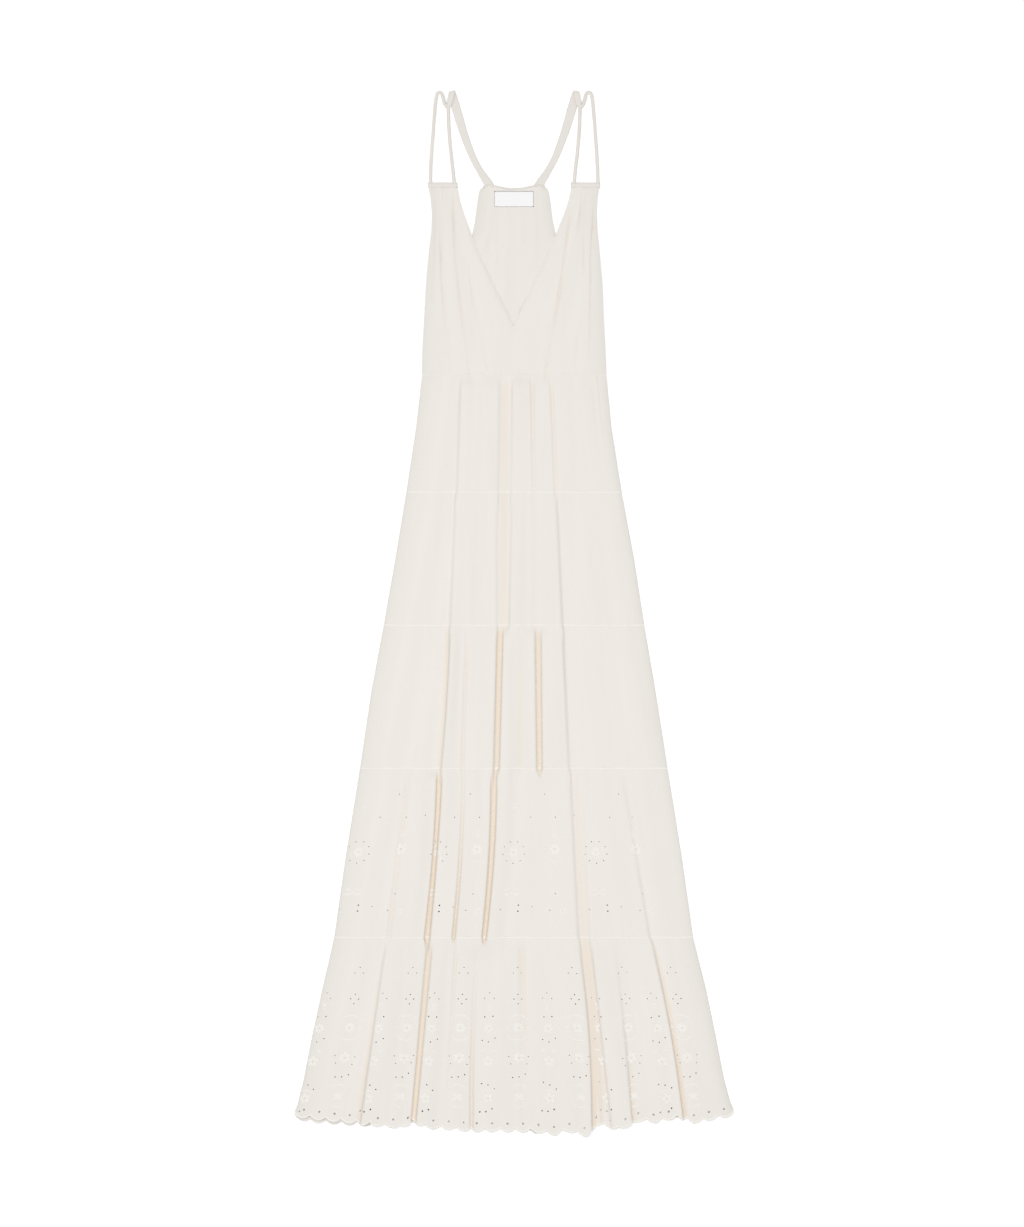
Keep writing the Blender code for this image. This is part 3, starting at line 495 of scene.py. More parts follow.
def cells_near(cloth, holes):
    """The cells of a cloth, by row and column, that a hole cuts or nearly touches."""
    margin = 0.35 * MM
    tries = 16
    cut = set()
    for place, radius in holes:
        reach = radius + margin
        for step in range(tries):
            angle = TURN * step / tries
            u, v = cloth.shift(place, reach * math.cos(angle), reach * math.sin(angle))
            cut.add((min(int(v), cloth.rows - 2), min(int(u), cloth.cols - 2)))
        low_u, low_v = cloth.shift(place, -radius, -radius)
        high_u, high_v = cloth.shift(place, radius, radius)
        for row in range(int(low_v), min(int(high_v), cloth.rows - 2) + 1):
            for col in range(int(low_u), min(int(high_u), cloth.cols - 2) + 1):
                cut.add((row, col))
    return cut


def grid_faces(rows, cols, turned=False):
    """Faces of a grid of points in rows, turned over if asked."""
    faces = []
    for row in range(rows - 1):
        for col in range(cols - 1):
            a = row * cols + col
            b = a + cols
            faces.append((a, a + 1, b + 1, b) if turned else (a, b, b + 1, a + 1))
    return faces


def sheet_mesh(name, cloth, holes=()):
    """The mesh of a sheet. Cells near a hole are cut again so that the hole is round."""
    reference = cloth.run[cloth.rows // 2]
    depth = cloth.drop[:, cloth.cols // 2]
    points = []
    uvs = []
    for row in range(cloth.rows):
        for col in range(cloth.cols):
            points.append(cloth.points[row][col])
            uvs.append((reference[col], -depth[row]))
    faces = []
    cut = cells_near(cloth, holes)
    for row in range(cloth.rows - 1):
        for col in range(cloth.cols - 1):
            if (row, col) in cut:
                continue
            corner = row * cloth.cols + col
            faces.append((corner, corner + cloth.cols, corner + cloth.cols + 1, corner + 1))
    if cut:
        cut_cells(cloth, holes, cut, points, uvs, faces)
    # The shares of painted fold shade and painted edge shade go on the mesh as point attributes.
    shades = {"painted_shade_depth": list(cloth.painted_shade_depth.ravel()), "painted_edge_shade": list(cloth.side.ravel())}
    if cut:
        for place, _ in holes:
            shades["painted_shade_depth"] += [float(cloth.read(cloth.painted_shade_depth, *place))] * HOLE_SIDES
            shades["painted_edge_shade"] += [float(cloth.read(cloth.side, *place))] * HOLE_SIDES
    return mesh_from(name, points, faces, uvs, shades)


def cut_cells(cloth, holes, cut, points, uvs, faces):
    """Fills the cells round the holes with triangles that leave each hole open."""
    same_place = 1e-7
    step_u = float(np.median(np.diff(cloth.run[cloth.rows // 2])))
    step_v = float(np.median(np.diff(cloth.drop[:, cloth.cols // 2])))
    flat = []
    index = []
    known = {}
    edges = []

    def corner_of(row, col):
        """The number of a point of the cloth among the points that are joined up."""
        key = (row, col)
        if key not in known:
            known[key] = len(flat)
            flat.append(Vector((col * step_u, -row * step_v)))
            index.append(row * cloth.cols + col)
        return known[key]

    rings = []
    for place, radius in holes:
        ring = []
        for step in range(HOLE_SIDES):
            angle = TURN * step / HOLE_SIDES
            ring.append(cloth.shift(place, radius * math.cos(angle), radius * math.sin(angle)))
        rings.append(ring)
    near = {}
    for ring in rings:
        for row in range(int(min(v for _, v in ring)), int(max(v for _, v in ring)) + 1):
            for col in range(int(min(u for u, _ in ring)), int(max(u for u, _ in ring)) + 1):
                near.setdefault((row, col), []).append(ring)

    def inside(u, v):
        """Whether a place lies in a hole."""
        for ring in near.get((int(v), int(u)), ()):
            crossings = 0
            for (ua, va), (ub, vb) in zip(ring, ring[1:] + ring[:1]):
                if (va > v) != (vb > v) and u < ua + (v - va) / (vb - va) * (ub - ua):
                    crossings += 1
            if crossings % 2:
                return True
        return False

    for row, col in sorted(cut):
        for a, b, beside in (
            ((row, col), (row, col + 1), (row - 1, col)),
            ((row + 1, col), (row + 1, col + 1), (row + 1, col)),
            ((row, col), (row + 1, col), (row, col - 1)),
            ((row, col + 1), (row + 1, col + 1), (row, col + 1)),
        ):
            if beside not in cut:
                edges.append((corner_of(*a), corner_of(*b)))
        for corner in ((row, col), (row + 1, col), (row, col + 1), (row + 1, col + 1)):
            if corner not in known and not inside(corner[1], corner[0]):
                corner_of(*corner)
    reference = cloth.run[cloth.rows // 2]
    depth = cloth.drop[:, cloth.cols // 2]
    for ring in rings:
        first = len(flat)
        for u, v in ring:
            flat.append(Vector((u * step_u, -v * step_v)))
            index.append(len(points))
            points.append(cloth.spot(u, v))
            uvs.append((float(np.interp(u, np.arange(cloth.cols), reference)),
                        -float(np.interp(v, np.arange(cloth.rows), depth))))
        for step in range(HOLE_SIDES):
            edges.append((first + step, first + (step + 1) % HOLE_SIDES))
    new_points, _, new_faces, origins = geometry.delaunay_2d_cdt(flat, edges, [], 0, same_place, True)[:4]
    for face in new_faces:
        middle = sum((new_points[i] for i in face), Vector((0.0, 0.0))) / len(face)
        u, v = middle.x / step_u, -middle.y / step_v
        if (int(v), int(u)) not in cut or inside(u, v):
            continue
        if any(not origins[i] for i in face):
            continue
        corners = [index[origins[i][0]] for i in face]
        if len(set(corners)) == 3:
            faces.append(tuple(corners))


# Front tiers.

def lip_profile(tuck):
    """Cloth that goes down over a lip to the right, as (x, z) with the lip at x = 0.

    The tuck is how far the cloth turns over, in half turns.
    """
    angle = math.pi * tuck
    radius = TURN_LENGTH / angle
    first_turn = []
    for step in range(LIP_STEPS + 1):
        turned = angle * step / LIP_STEPS
        first_turn.append((radius * math.sin(turned), -radius * (1.0 - math.cos(turned))))
    end_x, end_z = first_turn[-1]
    mid_x = end_x + 0.5 * LAP * math.cos(angle)
    mid_z = end_z - 0.5 * LAP * math.sin(angle)
    second_turn = [(2.0 * mid_x - x, 2.0 * mid_z - z) for x, z in reversed(first_turn)]
    lip = radius * math.sin(min(angle, 0.5 * math.pi))
    return [(x - lip, z - 2.0 * mid_z) for x, z in first_turn + second_turn]


def fold_points(fold, share):
    """Cross-section points of one fold at a share of its tier's height, above LOW."""
    crease_reach, crease_sharpness = 1.35, 1.3
    col = between(fold.top, fold.bottom, share) + fold.bow * math.sin(math.pi * share)
    size = between(fold.start, fold.end, share)
    middle = chart_x(col)
    if fold.over == "none":
        level = max(REST_RISE, size * MM)
        half = crease_reach * fold.width * MM
        points = []
        for step in range(CREASE_STEPS + 1):
            place = 2.0 * step / CREASE_STEPS - 1.0
            trough = (0.5 + 0.5 * math.cos(math.pi * place)) ** crease_sharpness
            points.append((middle + place * half, level - size * MM * trough))
        return points
    profile = lip_profile(size)
    if fold.over == "right":
        profile = [(-x, z) for x, z in reversed(profile)]
    return [(middle + x, z) for x, z in profile]


def fall(distance, run):
    """Share of a lip's height that is left at a distance from it."""
    if distance >= run:
        return 0.0
    return 0.5 + 0.5 * math.cos(math.pi * distance / run)


def roll_points(edge_x, inward):
    """The rounded side edge, from the back up to the front's resting height."""
    points = []
    for step in range(ROLL_STEPS):
        angle = 0.5 * math.pi * step / (ROLL_STEPS - 1)
        x = edge_x + inward * ROLL * (1.0 - math.cos(angle))
        points.append((x, between(EDGE_START - LOW, REST_RISE, math.sin(angle))))
    return points


def skirt_sides(row):
    """Places of the skirt's left and right edges at a chart row."""
    return [chart_x(read_table(SKIRT_EDGES, "row", side, row)) for side in ("left", "right")]


def tier_parts(tier, share):
    """The two side edges of a tier's cross-section with its folds between them."""
    left, right = skirt_sides(between(SEAM_ROWS[tier - 1], SEAM_ROWS[tier], share))
    folds = [fold_points(fold, share) for fold in FOLDS if fold.tier == tier]
    return [roll_points(left, 1.0)] + folds + [list(reversed(roll_points(right, -1.0)))]


def panel_counts(tier):
    """Points inside each panel of a tier, from its width at the lower seam."""
    fewest = 3
    parts = tier_parts(tier, 1.0)
    widths = [after[0][0] - before[-1][0] for before, after in zip(parts, parts[1:])]
    return [max(fewest, round(width / PANEL_STEP)) for width in widths]


def tier_section(tier, share, counts):
    """One cross-section, and how free each of its points is to ripple."""
    least_run = 0.1 * MM
    free_from = 6.0 * MM
    edge_freedom = 0.35
    parts = tier_parts(tier, share)
    section = list(parts[0])
    freedom = [edge_freedom * index / ROLL_STEPS for index in range(ROLL_STEPS)]
    for index, (before, after, count) in enumerate(zip(parts, parts[1:], counts)):
        start, end = before[-1], after[0]
        width = end[0] - start[0]
        run = min(DROP_RUN, max(width, least_run))
        for step in range(1, count + 1):
            distance = width * step / (count + 1)
            height = REST_RISE
            height += (start[1] - REST_RISE) * fall(distance, run)
            height += (end[1] - REST_RISE) * fall(width - distance, run)
            section.append((start[0] + distance, height))
            freedom.append(smooth(min(distance, width - distance) / free_from))
        section += after
        if index < len(counts) - 1:
            freedom += [0.0] * len(after)
        else:
            freedom += [edge_freedom * (1.0 - step / ROLL_STEPS) for step in range(1, ROLL_STEPS + 1)]
    return section, freedom


Gather = namedtuple("Gather", "x half depth reach")


def make_gathers(left, right, chance):
    """Fine gathers along a seam, uneven in spacing, depth and length."""
    first_gap, last_gap = 6.0 * MM, 4.0 * MM
    gathers = []
    x = left + first_gap
    while x < right - last_gap:
        kind = LONG_GATHER if chance.random() < LONG_GATHERS else SHORT_GATHER
        depth = chance.uniform(*GATHER_DEPTHS) * kind.depth_share
        reach = chance.uniform(*kind.reaches)
        half = chance.uniform(*kind.halves)
        gathers.append(Gather(x, half * MM, depth * MM, reach * MM))
        x += chance.uniform(*GATHER_SPACING) * MM
    return gathers


def make_waves(chance, waves):
    """Slow waves across a panel: each has a length, a height, a start and a drift down the cloth."""
    drift = 1.2
    longest = max(waves.lengths)
    return [(length * MM, waves.height * MM * (0.6 + 0.4 * length / longest), chance.random(),
             chance.uniform(-drift, drift)) for length in waves.lengths]


def add_waves(height, waves, xs, below, loose=1.0):
    """Adds slow waves to the heights of a row of points, as far as each point is loose."""
    for length, tall, phase, drift in waves:
        height += loose * tall * np.sin(TURN * (xs / length + phase + drift * below))


def ripple(gathers, seam_x, below, waves):
    """Height that gathers and slow waves add to a row of points below a seam."""
    fade_power = 1.4
    full_from = 7.0 * MM
    height = np.zeros(len(seam_x))
    for gather in gathers:
        if below > gather.reach:
            continue
        fade = (1.0 - below / gather.reach) ** fade_power * smooth(below / full_from)
        height -= gather.depth * fade * np.exp(-((seam_x - gather.x) / gather.half) ** 2)
    add_waves(height, waves, seam_x, below)
    return height


def row_depths(height, scalloped):
    """Distances of the rows of points below a seam, closer together where detail needs it."""
    depths = [0.0, 1.2 * MM, 2.6 * MM, 4.4 * MM, 7.0 * MM, 10.5 * MM]
    last = [2.6 * MM * step for step in range(9, -1, -1)] if scalloped else [4.5 * MM, 2.2 * MM, 0.0]
    start, end = depths[-1], height - last[0]
    steps = max(1, round((end - start) / ROW_STEP))
    depths += [start + (end - start) * step / steps for step in range(1, steps)]
    return depths + [height - gap for gap in last]


def top_line(section_x, section_z):
    """Places and heights of the upper side of a cross-section, where it may fold under itself."""
    spacing, margin = 0.4 * MM, 0.2 * MM
    upright = 1e-6
    xs = np.arange(min(section_x), max(section_x), spacing)
    zs = np.full(len(xs), -1.0)
    for x0, z0, x1, z1 in zip(section_x, section_z, section_x[1:], section_z[1:]):
        if x1 < x0:
            x0, z0, x1, z1 = x1, z1, x0, z0
        covered = (xs >= x0 - margin) & (xs <= x1 + margin)
        share = np.clip((xs[covered] - x0) / max(x1 - x0, upright), 0.0, 1.0)
        zs[covered] = np.maximum(zs[covered], z0 + (z1 - z0) * share)
    return xs, zs


def front_cloth(tier, above):
    """Points of the front of one tier; above holds the line of the seam that it hangs from.

    Near the seam each point is held to that line, and for longer where the line lies higher than
    the point would. Where no fold goes on below the seam, the folds of the line close.
    """
    chance = random.Random(FRONT_SEED + tier)
    slow_hold = 2.2 * SEAM_HOLD
    fast_power = 0.7
    closing_places = 12.0
    in_fold = 0.8 * MM
    under_seam, below_seam = 0.8 * MM, 0.4 * MM
    counts = panel_counts(tier)
    height = (SEAM_ROWS[tier] - SEAM_ROWS[tier - 1]) * UNIT
    seam, _ = tier_section(tier, 0.0, counts)
    seam_x = np.array([x for x, _ in seam])
    gathers = make_gathers(seam_x[0], seam_x[-1], chance)
    waves = make_waves(chance, FRONT_WAVES)
    last, _ = tier_section(tier, 1.0, counts)
    lobes = lobe_phases(last)
    seam_z = np.interp(seam_x, above[0], above[1]) - LOW
    points = []
    for below in row_depths(height, tier == 5):
        share = below / height
        section, freedom = tier_section(tier, share, counts)
        extra = ripple(gathers, seam_x, below, waves) * np.array(freedom)
        slow = smooth(1.0 - below / slow_hold)
        fast = smooth(1.0 - below / SEAM_HOLD) ** fast_power
        closing = round(min(below / SEAM_HOLD, 1.0) * closing_places)
        closed_z = np.interp(seam_x, above[0], highest_beside(above[1], closing, closing)) - LOW
        line = []
        for col, ((x, z), lift) in enumerate(zip(section, extra)):
            if tier < 5:
                y = chart_y(SEAM_ROWS[tier - 1]) - below
            else:
                low = read_table(FRONT_HEM, "col", "row", last[col][0] / UNIT + CENTRE_COL)
                y = hem_y(low, share, height, lobes[col])
            goal = between(closed_z[col], seam_z[col], smooth((REST_RISE - z) / in_fold))
            z += lift + (goal - z) * (slow if goal > z else fast)
            z = max(LOW + z, min(LOW + section[col][1], LEAST_HEIGHT))
            if below == 0.0:
                y += under_seam
                z -= below_seam
            line.append((x, y, z))
        points.append(line)
    return Cloth(points)


def hem_y(low, share, height, lobe):
    """The y of a point of the last tier, a share of the way down to the scallops' lowest row."""
    y = chart_y(between(SEAM_ROWS[4], low, share))
    return y + smooth((share * height - height + LOBE_BLEND) / LOBE_BLEND) * scallop(lobe)


def lobe_phases(section):
    """Place within a scallop at each point of the hem's cross-section, whole at each notch."""
    phases = [0.0]
    for (x0, z0), (x1, z1) in zip(section, section[1:]):
        phases.append(phases[-1] + math.hypot(x1 - x0, z1 - z0))
    lobes = round(phases[-1] / LOBE)
    return [phase / phases[-1] * lobes for phase in phases]


def scallop(phase):
    """How far the hem edge is above the scallops' lowest line."""
    fullness = 0.7
    return LOBE_DEPTH * (1.0 - abs(math.sin(math.pi * phase)) ** fullness)


# Back tiers.

def back_lobes():
    """How many scallops the back hem has."""
    bottom = SKIRT_EDGES[-1]
    return round((bottom.right - bottom.left) * UNIT / LOBE)


def back_cloth(tier):
    """Points of the back of one tier, which lies on the floor with a few soft creases."""
    chance = random.Random(BACK_SEED + tier)
    col_step = 1.4 * PANEL_STEP
    row_step = ROW_STEP if tier > 3 else 2.0 * ROW_STEP
    from_sides = 25.0
    highest, lift_from = 1.1 * MM, 12.0 * MM
    edge_rise, edge_width = 0.45 * MM, 8.0 * MM
    top, bottom = SEAM_ROWS[tier - 1], SEAM_ROWS[tier]
    height = (bottom - top) * UNIT
    rows = round(height / row_step) + 1
    left, right = skirt_sides(top)
    low_left, low_right = skirt_sides(bottom)
    cols = round((low_right - low_left) / col_step) + 1
    shares = np.linspace(0.0, 1.0, cols)
    seam_x = left + (right - left) * shares
    edge = np.minimum(shares, 1.0 - shares) * (right - left)
    lobes = back_lobes()
    gathers = make_gathers(left, right, chance)
    waves = make_waves(chance, BACK_WAVES)
    folds = []
    x = left + chance.uniform(from_sides, 50.0) * MM
    while x < right - from_sides * MM:
        folds.append((x, chance.uniform(3.0, 6.0) * MM, chance.uniform(0.4, 0.9) * MM, chance.random()))
        x += chance.uniform(28.0, 75.0) * MM
    points = []
    for row in range(rows):
        share = row / (rows - 1)
        at_row = between(top, bottom, share)
        start, end = skirt_sides(at_row)
        lift = -ripple(gathers, seam_x, share * height, waves)
        for place, half, tall, start_share in folds:
            lift += tall * between(start_share, 1.0, share) * np.exp(-((seam_x - place) / half) ** 2)
        lift = np.clip(lift, 0.0, highest) * np.clip(edge / lift_from, 0.0, 1.0)
        rise = edge_rise * (1.0 - np.clip(edge / edge_width, 0.0, 1.0)) ** 2
        line = []
        for col in range(cols):
            x = start + (end - start) * shares[col]
            y = chart_y(at_row)
            if tier == 5:
                low = read_table(BACK_HEM, "col", "row", x / UNIT + CENTRE_COL)
                y = hem_y(low, share, height, shares[col] * lobes)
            line.append((x, y, BACK_REST + lift[col] + rise[col]))
        points.append(line)
    return Cloth(points)


# Bodice.

def crease_lift(creases, row, xs):
    """Height that a table of creases takes off a row of points."""
    reach = 9.0
    narrowing, sharpness = 0.85, 1.6
    lift = np.zeros(len(xs))
    for crease in creases:
        if not crease.top_row - reach <= row <= crease.low_row + reach:
            continue
        share = (row - crease.top_row) / (crease.low_row - crease.top_row)
        col = between(crease.top_col, crease.low_col, share)
        share = min(max(share, 0.0), 1.0)
        if share < 0.5:
            depth = between(crease.start, crease.middle, 2.0 * share)
        else:
            depth = between(crease.middle, crease.end, 2.0 * share - 1.0)
        fade = smooth((row - crease.top_row + reach) / reach) * smooth((crease.low_row + reach - row) / reach)
        half = narrowing * crease.width * MM
        lift -= depth * fade * MM * np.exp(-np.abs((xs - chart_x(col)) / half) ** sharpness)
    return lift


def bodice_gathers(chance, kind):
    """Gathers of a bodice half at one of its seams; x is a share of its width."""
    return [Gather(chance.uniform(*kind.places), chance.uniform(*kind.halves) * MM,
                   chance.uniform(*kind.depths) * MM, chance.uniform(*kind.reaches) * MM)
            for _ in range(kind.count)]


def rounded(distance, run):
    """A quarter round from 0 at an edge to 1 at a distance from it."""
    return np.sin(0.5 * math.pi * np.clip(distance / run, 0.0, 1.0))


def bodice_cloth(side):
    """Points of one half of the bodice front, from its left edge to its right one."""
    on_left = side == "left"
    chance = random.Random(BODICE_SEEDS[side])
    cols = 115
    row_step = 4.0 * MM
    swell_height, swell_outer, swell_inner, edge_start = 1.1 * MM, 9.0 * MM, 7.0 * MM, 1.0 * MM
    # A crease as deep as crease_full takes the whole painted fold shade.
    crease_strength, crease_full = 1.3, 2.5 * MM
    loose_from, loose_at_middle = 5.0 * MM, 9.0 * MM
    dip_depth, dip_width, dip_row, dip_blend, dip_past_v = 0.9 * MM, 4.0 * MM, 224.0, 12.0, 6.0
    lowest = -1.3 * MM
    under_band, below_band = 2.2 * MM, 0.5 * MM
    top, bottom = BODICE_ROWS[0].row, SEAM_ROWS[0]
    rows = round((bottom - top) * UNIT / row_step) + 1
    band_gathers = bodice_gathers(chance, BAND_GATHERS)
    waist_gathers = bodice_gathers(chance, WAIST_GATHERS)
    waves = make_waves(chance, BODICE_WAVES)
    shares = np.linspace(0.0, 1.0, cols)
    points = []
    for index in range(rows):
        row = between(top, bottom, index / (rows - 1))
        edge = chart_x(read_table(BODICE_ROWS, "row", side, row))
        middle = chart_x(read_table(BODICE_ROWS, "row", "inner_" + side, row))
        start, end = (edge, middle) if on_left else (middle, edge)
        xs = start + (end - start) * shares
        width = abs(end - start)
        from_outer = shares * width if on_left else (1.0 - shares) * width
        from_inner = width - from_outer
        swell = swell_height * rounded(from_outer, swell_outer)
        if row < V_POINT_ROW:
            swell *= rounded(from_inner + edge_start, swell_inner)
        lift = swell + crease_strength * crease_lift(BODICE_CREASES, row, xs)
        from_edge = np.minimum(from_outer, from_inner + (loose_at_middle if row > V_POINT_ROW else 0.0))
        loose = np.clip(from_edge / loose_from, 0.0, 1.0)
        below = (row - top) * UNIT
        above = (bottom - row) * UNIT
        for gathers, distance in ((band_gathers, below), (waist_gathers, above)):
            for gather in gathers:
                if distance < gather.reach:
                    lift -= (loose * gather.depth * (1.0 - distance / gather.reach)
                             * np.exp(-((xs - start - gather.x * width) / gather.half) ** 2))
        add_waves(lift, waves, xs, below, loose)
        base = read_table(BODICE_ROWS, "row", "base", row) * MM
        if row < V_POINT_ROW + dip_past_v:
            lift -= dip_depth * np.exp(-(from_inner / dip_width) ** 2) * smooth((row - dip_row) / dip_blend)
        lift = np.maximum(lift, lowest)
        if index == 0:
            y = chart_y(row) + under_band
            points.append([(x, y, base + z - below_band) for x, z in zip(xs, lift)])
        points.append([(x, chart_y(row), base + z) for x, z in zip(xs, lift)])
    # Only the outer side edge of each half takes painted edge shade.
    return Cloth(points, crease_full, (1.0, 0.0) if on_left else (0.0, 1.0))


def back_bodice_cloth():
    """Points of the bodice back, whose top follows the neck binding."""
    rows, cols, neck_rows = 46, 92, 8
    rest, least = 0.9 * MM, 0.05 * MM
    # A crease as deep as crease_full takes the whole painted fold shade.
    crease_strength, crease_full = 1.25, 2.0 * MM
    flat_width, edge_share = 5.0 * MM, 0.25
    neck_xs = [chart_x(point.col) for point in NECK_BINDING]
    neck_ys = [chart_y(point.row) - BINDING_RADIUS for point in NECK_BINDING]
    shares = np.linspace(0.0, 1.0, cols)
    waves = make_waves(random.Random(BACK_BODICE_SEED), BACK_BODICE_WAVES)
    points = []
    for index in range(rows):
        row = between(BACK_BODICE_ROWS[0].row, SEAM_ROWS[0], index / (rows - 1))
        start = chart_x(read_table(BACK_BODICE_ROWS, "row", "left", row))
        end = chart_x(read_table(BACK_BODICE_ROWS, "row", "right", row))
        xs = start + (end - start) * shares
        lift = rest + crease_strength * crease_lift(BACK_CREASES, row, xs)
        add_waves(lift, waves, xs, row * UNIT)
        edge = np.minimum(shares, 1.0 - shares) * abs(end - start)
        lift = np.maximum(lift, least) * np.clip(edge / flat_width, edge_share, 1.0)
        line = []
        for x, z in zip(xs, lift):
            neck = float(np.interp(x, neck_xs, neck_ys))
            y = between(neck, chart_y(row), smooth(index / neck_rows))
            line.append((x, min(y, neck), BACK_REST + z))
        points.append(line)
    return Cloth(points, crease_full)


def joined_bodice(left, right):
    """One mesh of the two bodice halves, joined below the V."""
    above_point, beside, weld = 1.0 * MM, 0.1 * MM, 0.6 * MM
    first = sheet_mesh("half_left", left)
    second = sheet_mesh("half_right", right)
    mesh = bmesh.new()
    mesh.from_mesh(first)
    mesh.from_mesh(second)
    v_point = chart_y(V_POINT_ROW) + above_point
    on_line = [vert for vert in mesh.verts
               if vert.co.y < v_point and abs(vert.co.x - chart_x(V_POINT_COL)) < beside]
    bmesh.ops.remove_doubles(mesh, verts=on_line, dist=weld)
    joined = bpy.data.meshes.new("bodice_front_cloth")
    mesh.to_mesh(joined)
    mesh.free()
    bpy.data.meshes.remove(first)
    bpy.data.meshes.remove(second)
    joined.shade_smooth()
    return joined


# Tubes: seams, cords and bindings.

def smooth_path(points, steps):
    """A smooth curve through points of any dimension, with equal steps between each pair."""
    path = []
    padded = [points[0]] + list(points) + [points[-1]]
    for index in range(1, len(padded) - 2):
        before, start, end, after = padded[index - 1:index + 3]
        for step in range(steps):
            t = step / steps
            point = []
            for p0, p1, p2, p3 in zip(before, start, end, after):
                linear = (p2 - p0) * t
                square = (2 * p0 - 5 * p1 + 4 * p2 - p3) * t * t
                cube = (3 * p1 - 3 * p2 + p3 - p0) * t * t * t
                point.append(p1 + 0.5 * (linear + square + cube))
            path.append(tuple(point))
    path.append(tuple(points[-1]))
    return path


def closed_mesh(name, points, faces, uvs, weld=0.0):
    """A smooth closed mesh with every face outwards, and with near points made one if asked."""
    mesh = mesh_from(name, points, faces, uvs)
    shell = bmesh.new()
    shell.from_mesh(mesh)
    if weld:
        bmesh.ops.remove_doubles(shell, verts=shell.verts, dist=weld)
    bmesh.ops.recalc_face_normals(shell, faces=shell.faces)
    shell.to_mesh(mesh)
    shell.free()
    return mesh


def tube_mesh(name, path, radius_at, sides):
    """A closed tube along a path; radius_at gives its radius at a distance along and an angle."""
    path = [Vector(point) for point in path]
    points = []
    uvs = []
    travelled = 0.0
    for index, place in enumerate(path):
        before = path[max(index - 1, 0)]
        after = path[min(index + 1, len(path) - 1)]
        heading = (after - before).normalized()
        sideways = heading.cross(UPWARDS).normalized()
        upward = sideways.cross(heading).normalized()
        if index:
            travelled += (place - path[index - 1]).length
        for side in range(sides):
            angle = TURN * side / sides
            offset = sideways * math.cos(angle) + upward * math.sin(angle)
            points.append(place + offset * radius_at(travelled, angle))
            uvs.append((travelled, angle * MM))
    return closed_mesh(name, points, ring_faces(len(path), sides, turned=True), uvs)


def seam_mesh(cloth, name, chance, face):
    """A soft flat ridge along a cloth's first row of points, where it is sewn to the next piece."""
    lowered, raised = (0.9 * MM, 0.4 * MM) if face > 0.0 else (0.0, 0.0)
    shift = Vector((0.0, -lowered, raised))
    waves = [(chance.uniform(3.0, 9.0) * MM, chance.random()) for _ in range(3)]
    unevenness, rise = 0.08, 0.17 * MM
    sides = 9
    points = []
    uvs = []
    for col in range(cloth.cols):
        place = cloth.spot(col, 0) + shift
        travelled = float(cloth.run[0][col])
        swell = 1.0
        for length, phase in waves:
            swell += unevenness * math.sin(TURN * (travelled / length + phase))
        for side in range(sides):
            angle = TURN * side / sides
            down = SEAM_HALF * swell * math.cos(angle)
            lift = SEAM_RISE * swell * math.sin(angle)
            points.append(place + Vector((0.0, -down, face * (lift + rise))))
            uvs.append((travelled, down))
    return closed_mesh(name, points, ring_faces(cloth.cols, sides), uvs)


def ring_faces(rings, sides, turned=False):
    """Faces of a closed tube whose points are rings of equal size, turned over if asked."""
    faces = []
    for index in range(rings - 1):
        for side in range(sides):
            a = index * sides + side
            b = index * sides + (side + 1) % sides
            faces.append((a, b, b + sides, a + sides) if turned else (a, a + sides, b + sides, b))
    last = (rings - 1) * sides
    near, far = range(sides), range(last, last + sides)
    faces.append(tuple(reversed(near) if turned else near))
    faces.append(tuple(far if turned else reversed(far)))
    return faces


def strap_path(table, mirrored, steps):
    """The smooth middle line of a cord."""
    points = []
    for point in table:
        col = mirror_col(point.col) if mirrored else point.col
        points.append((chart_x(col), chart_y(point.row), CORD_HEIGHT))
    return smooth_path(points, steps)


def rouleau(path, radius, phase, name):
    """A narrow tube of cloth, a little uneven, with a seam that winds slowly round it."""
    sides = 18
    long_wave, short_wave, winding = 5.1 * MM, 2.3 * MM, 46.0 * MM
    seam_width, seam_depth = 0.28, 0.10

    def radius_at(travelled, angle):
        """Radius at a distance along the tube and an angle round it."""
        wave = 0.035 * math.sin(travelled / long_wave + phase)
        wave += 0.03 * math.sin(travelled / short_wave + 2.0 * phase)
        wind = angle - travelled / winding - phase
        seam = math.exp(-(math.remainder(wind, TURN) / seam_width) ** 2)
        return radius * (0.97 + wave * math.cos(angle + phase) - seam_depth * seam)

    return tube_mesh(name, path, radius_at, sides)


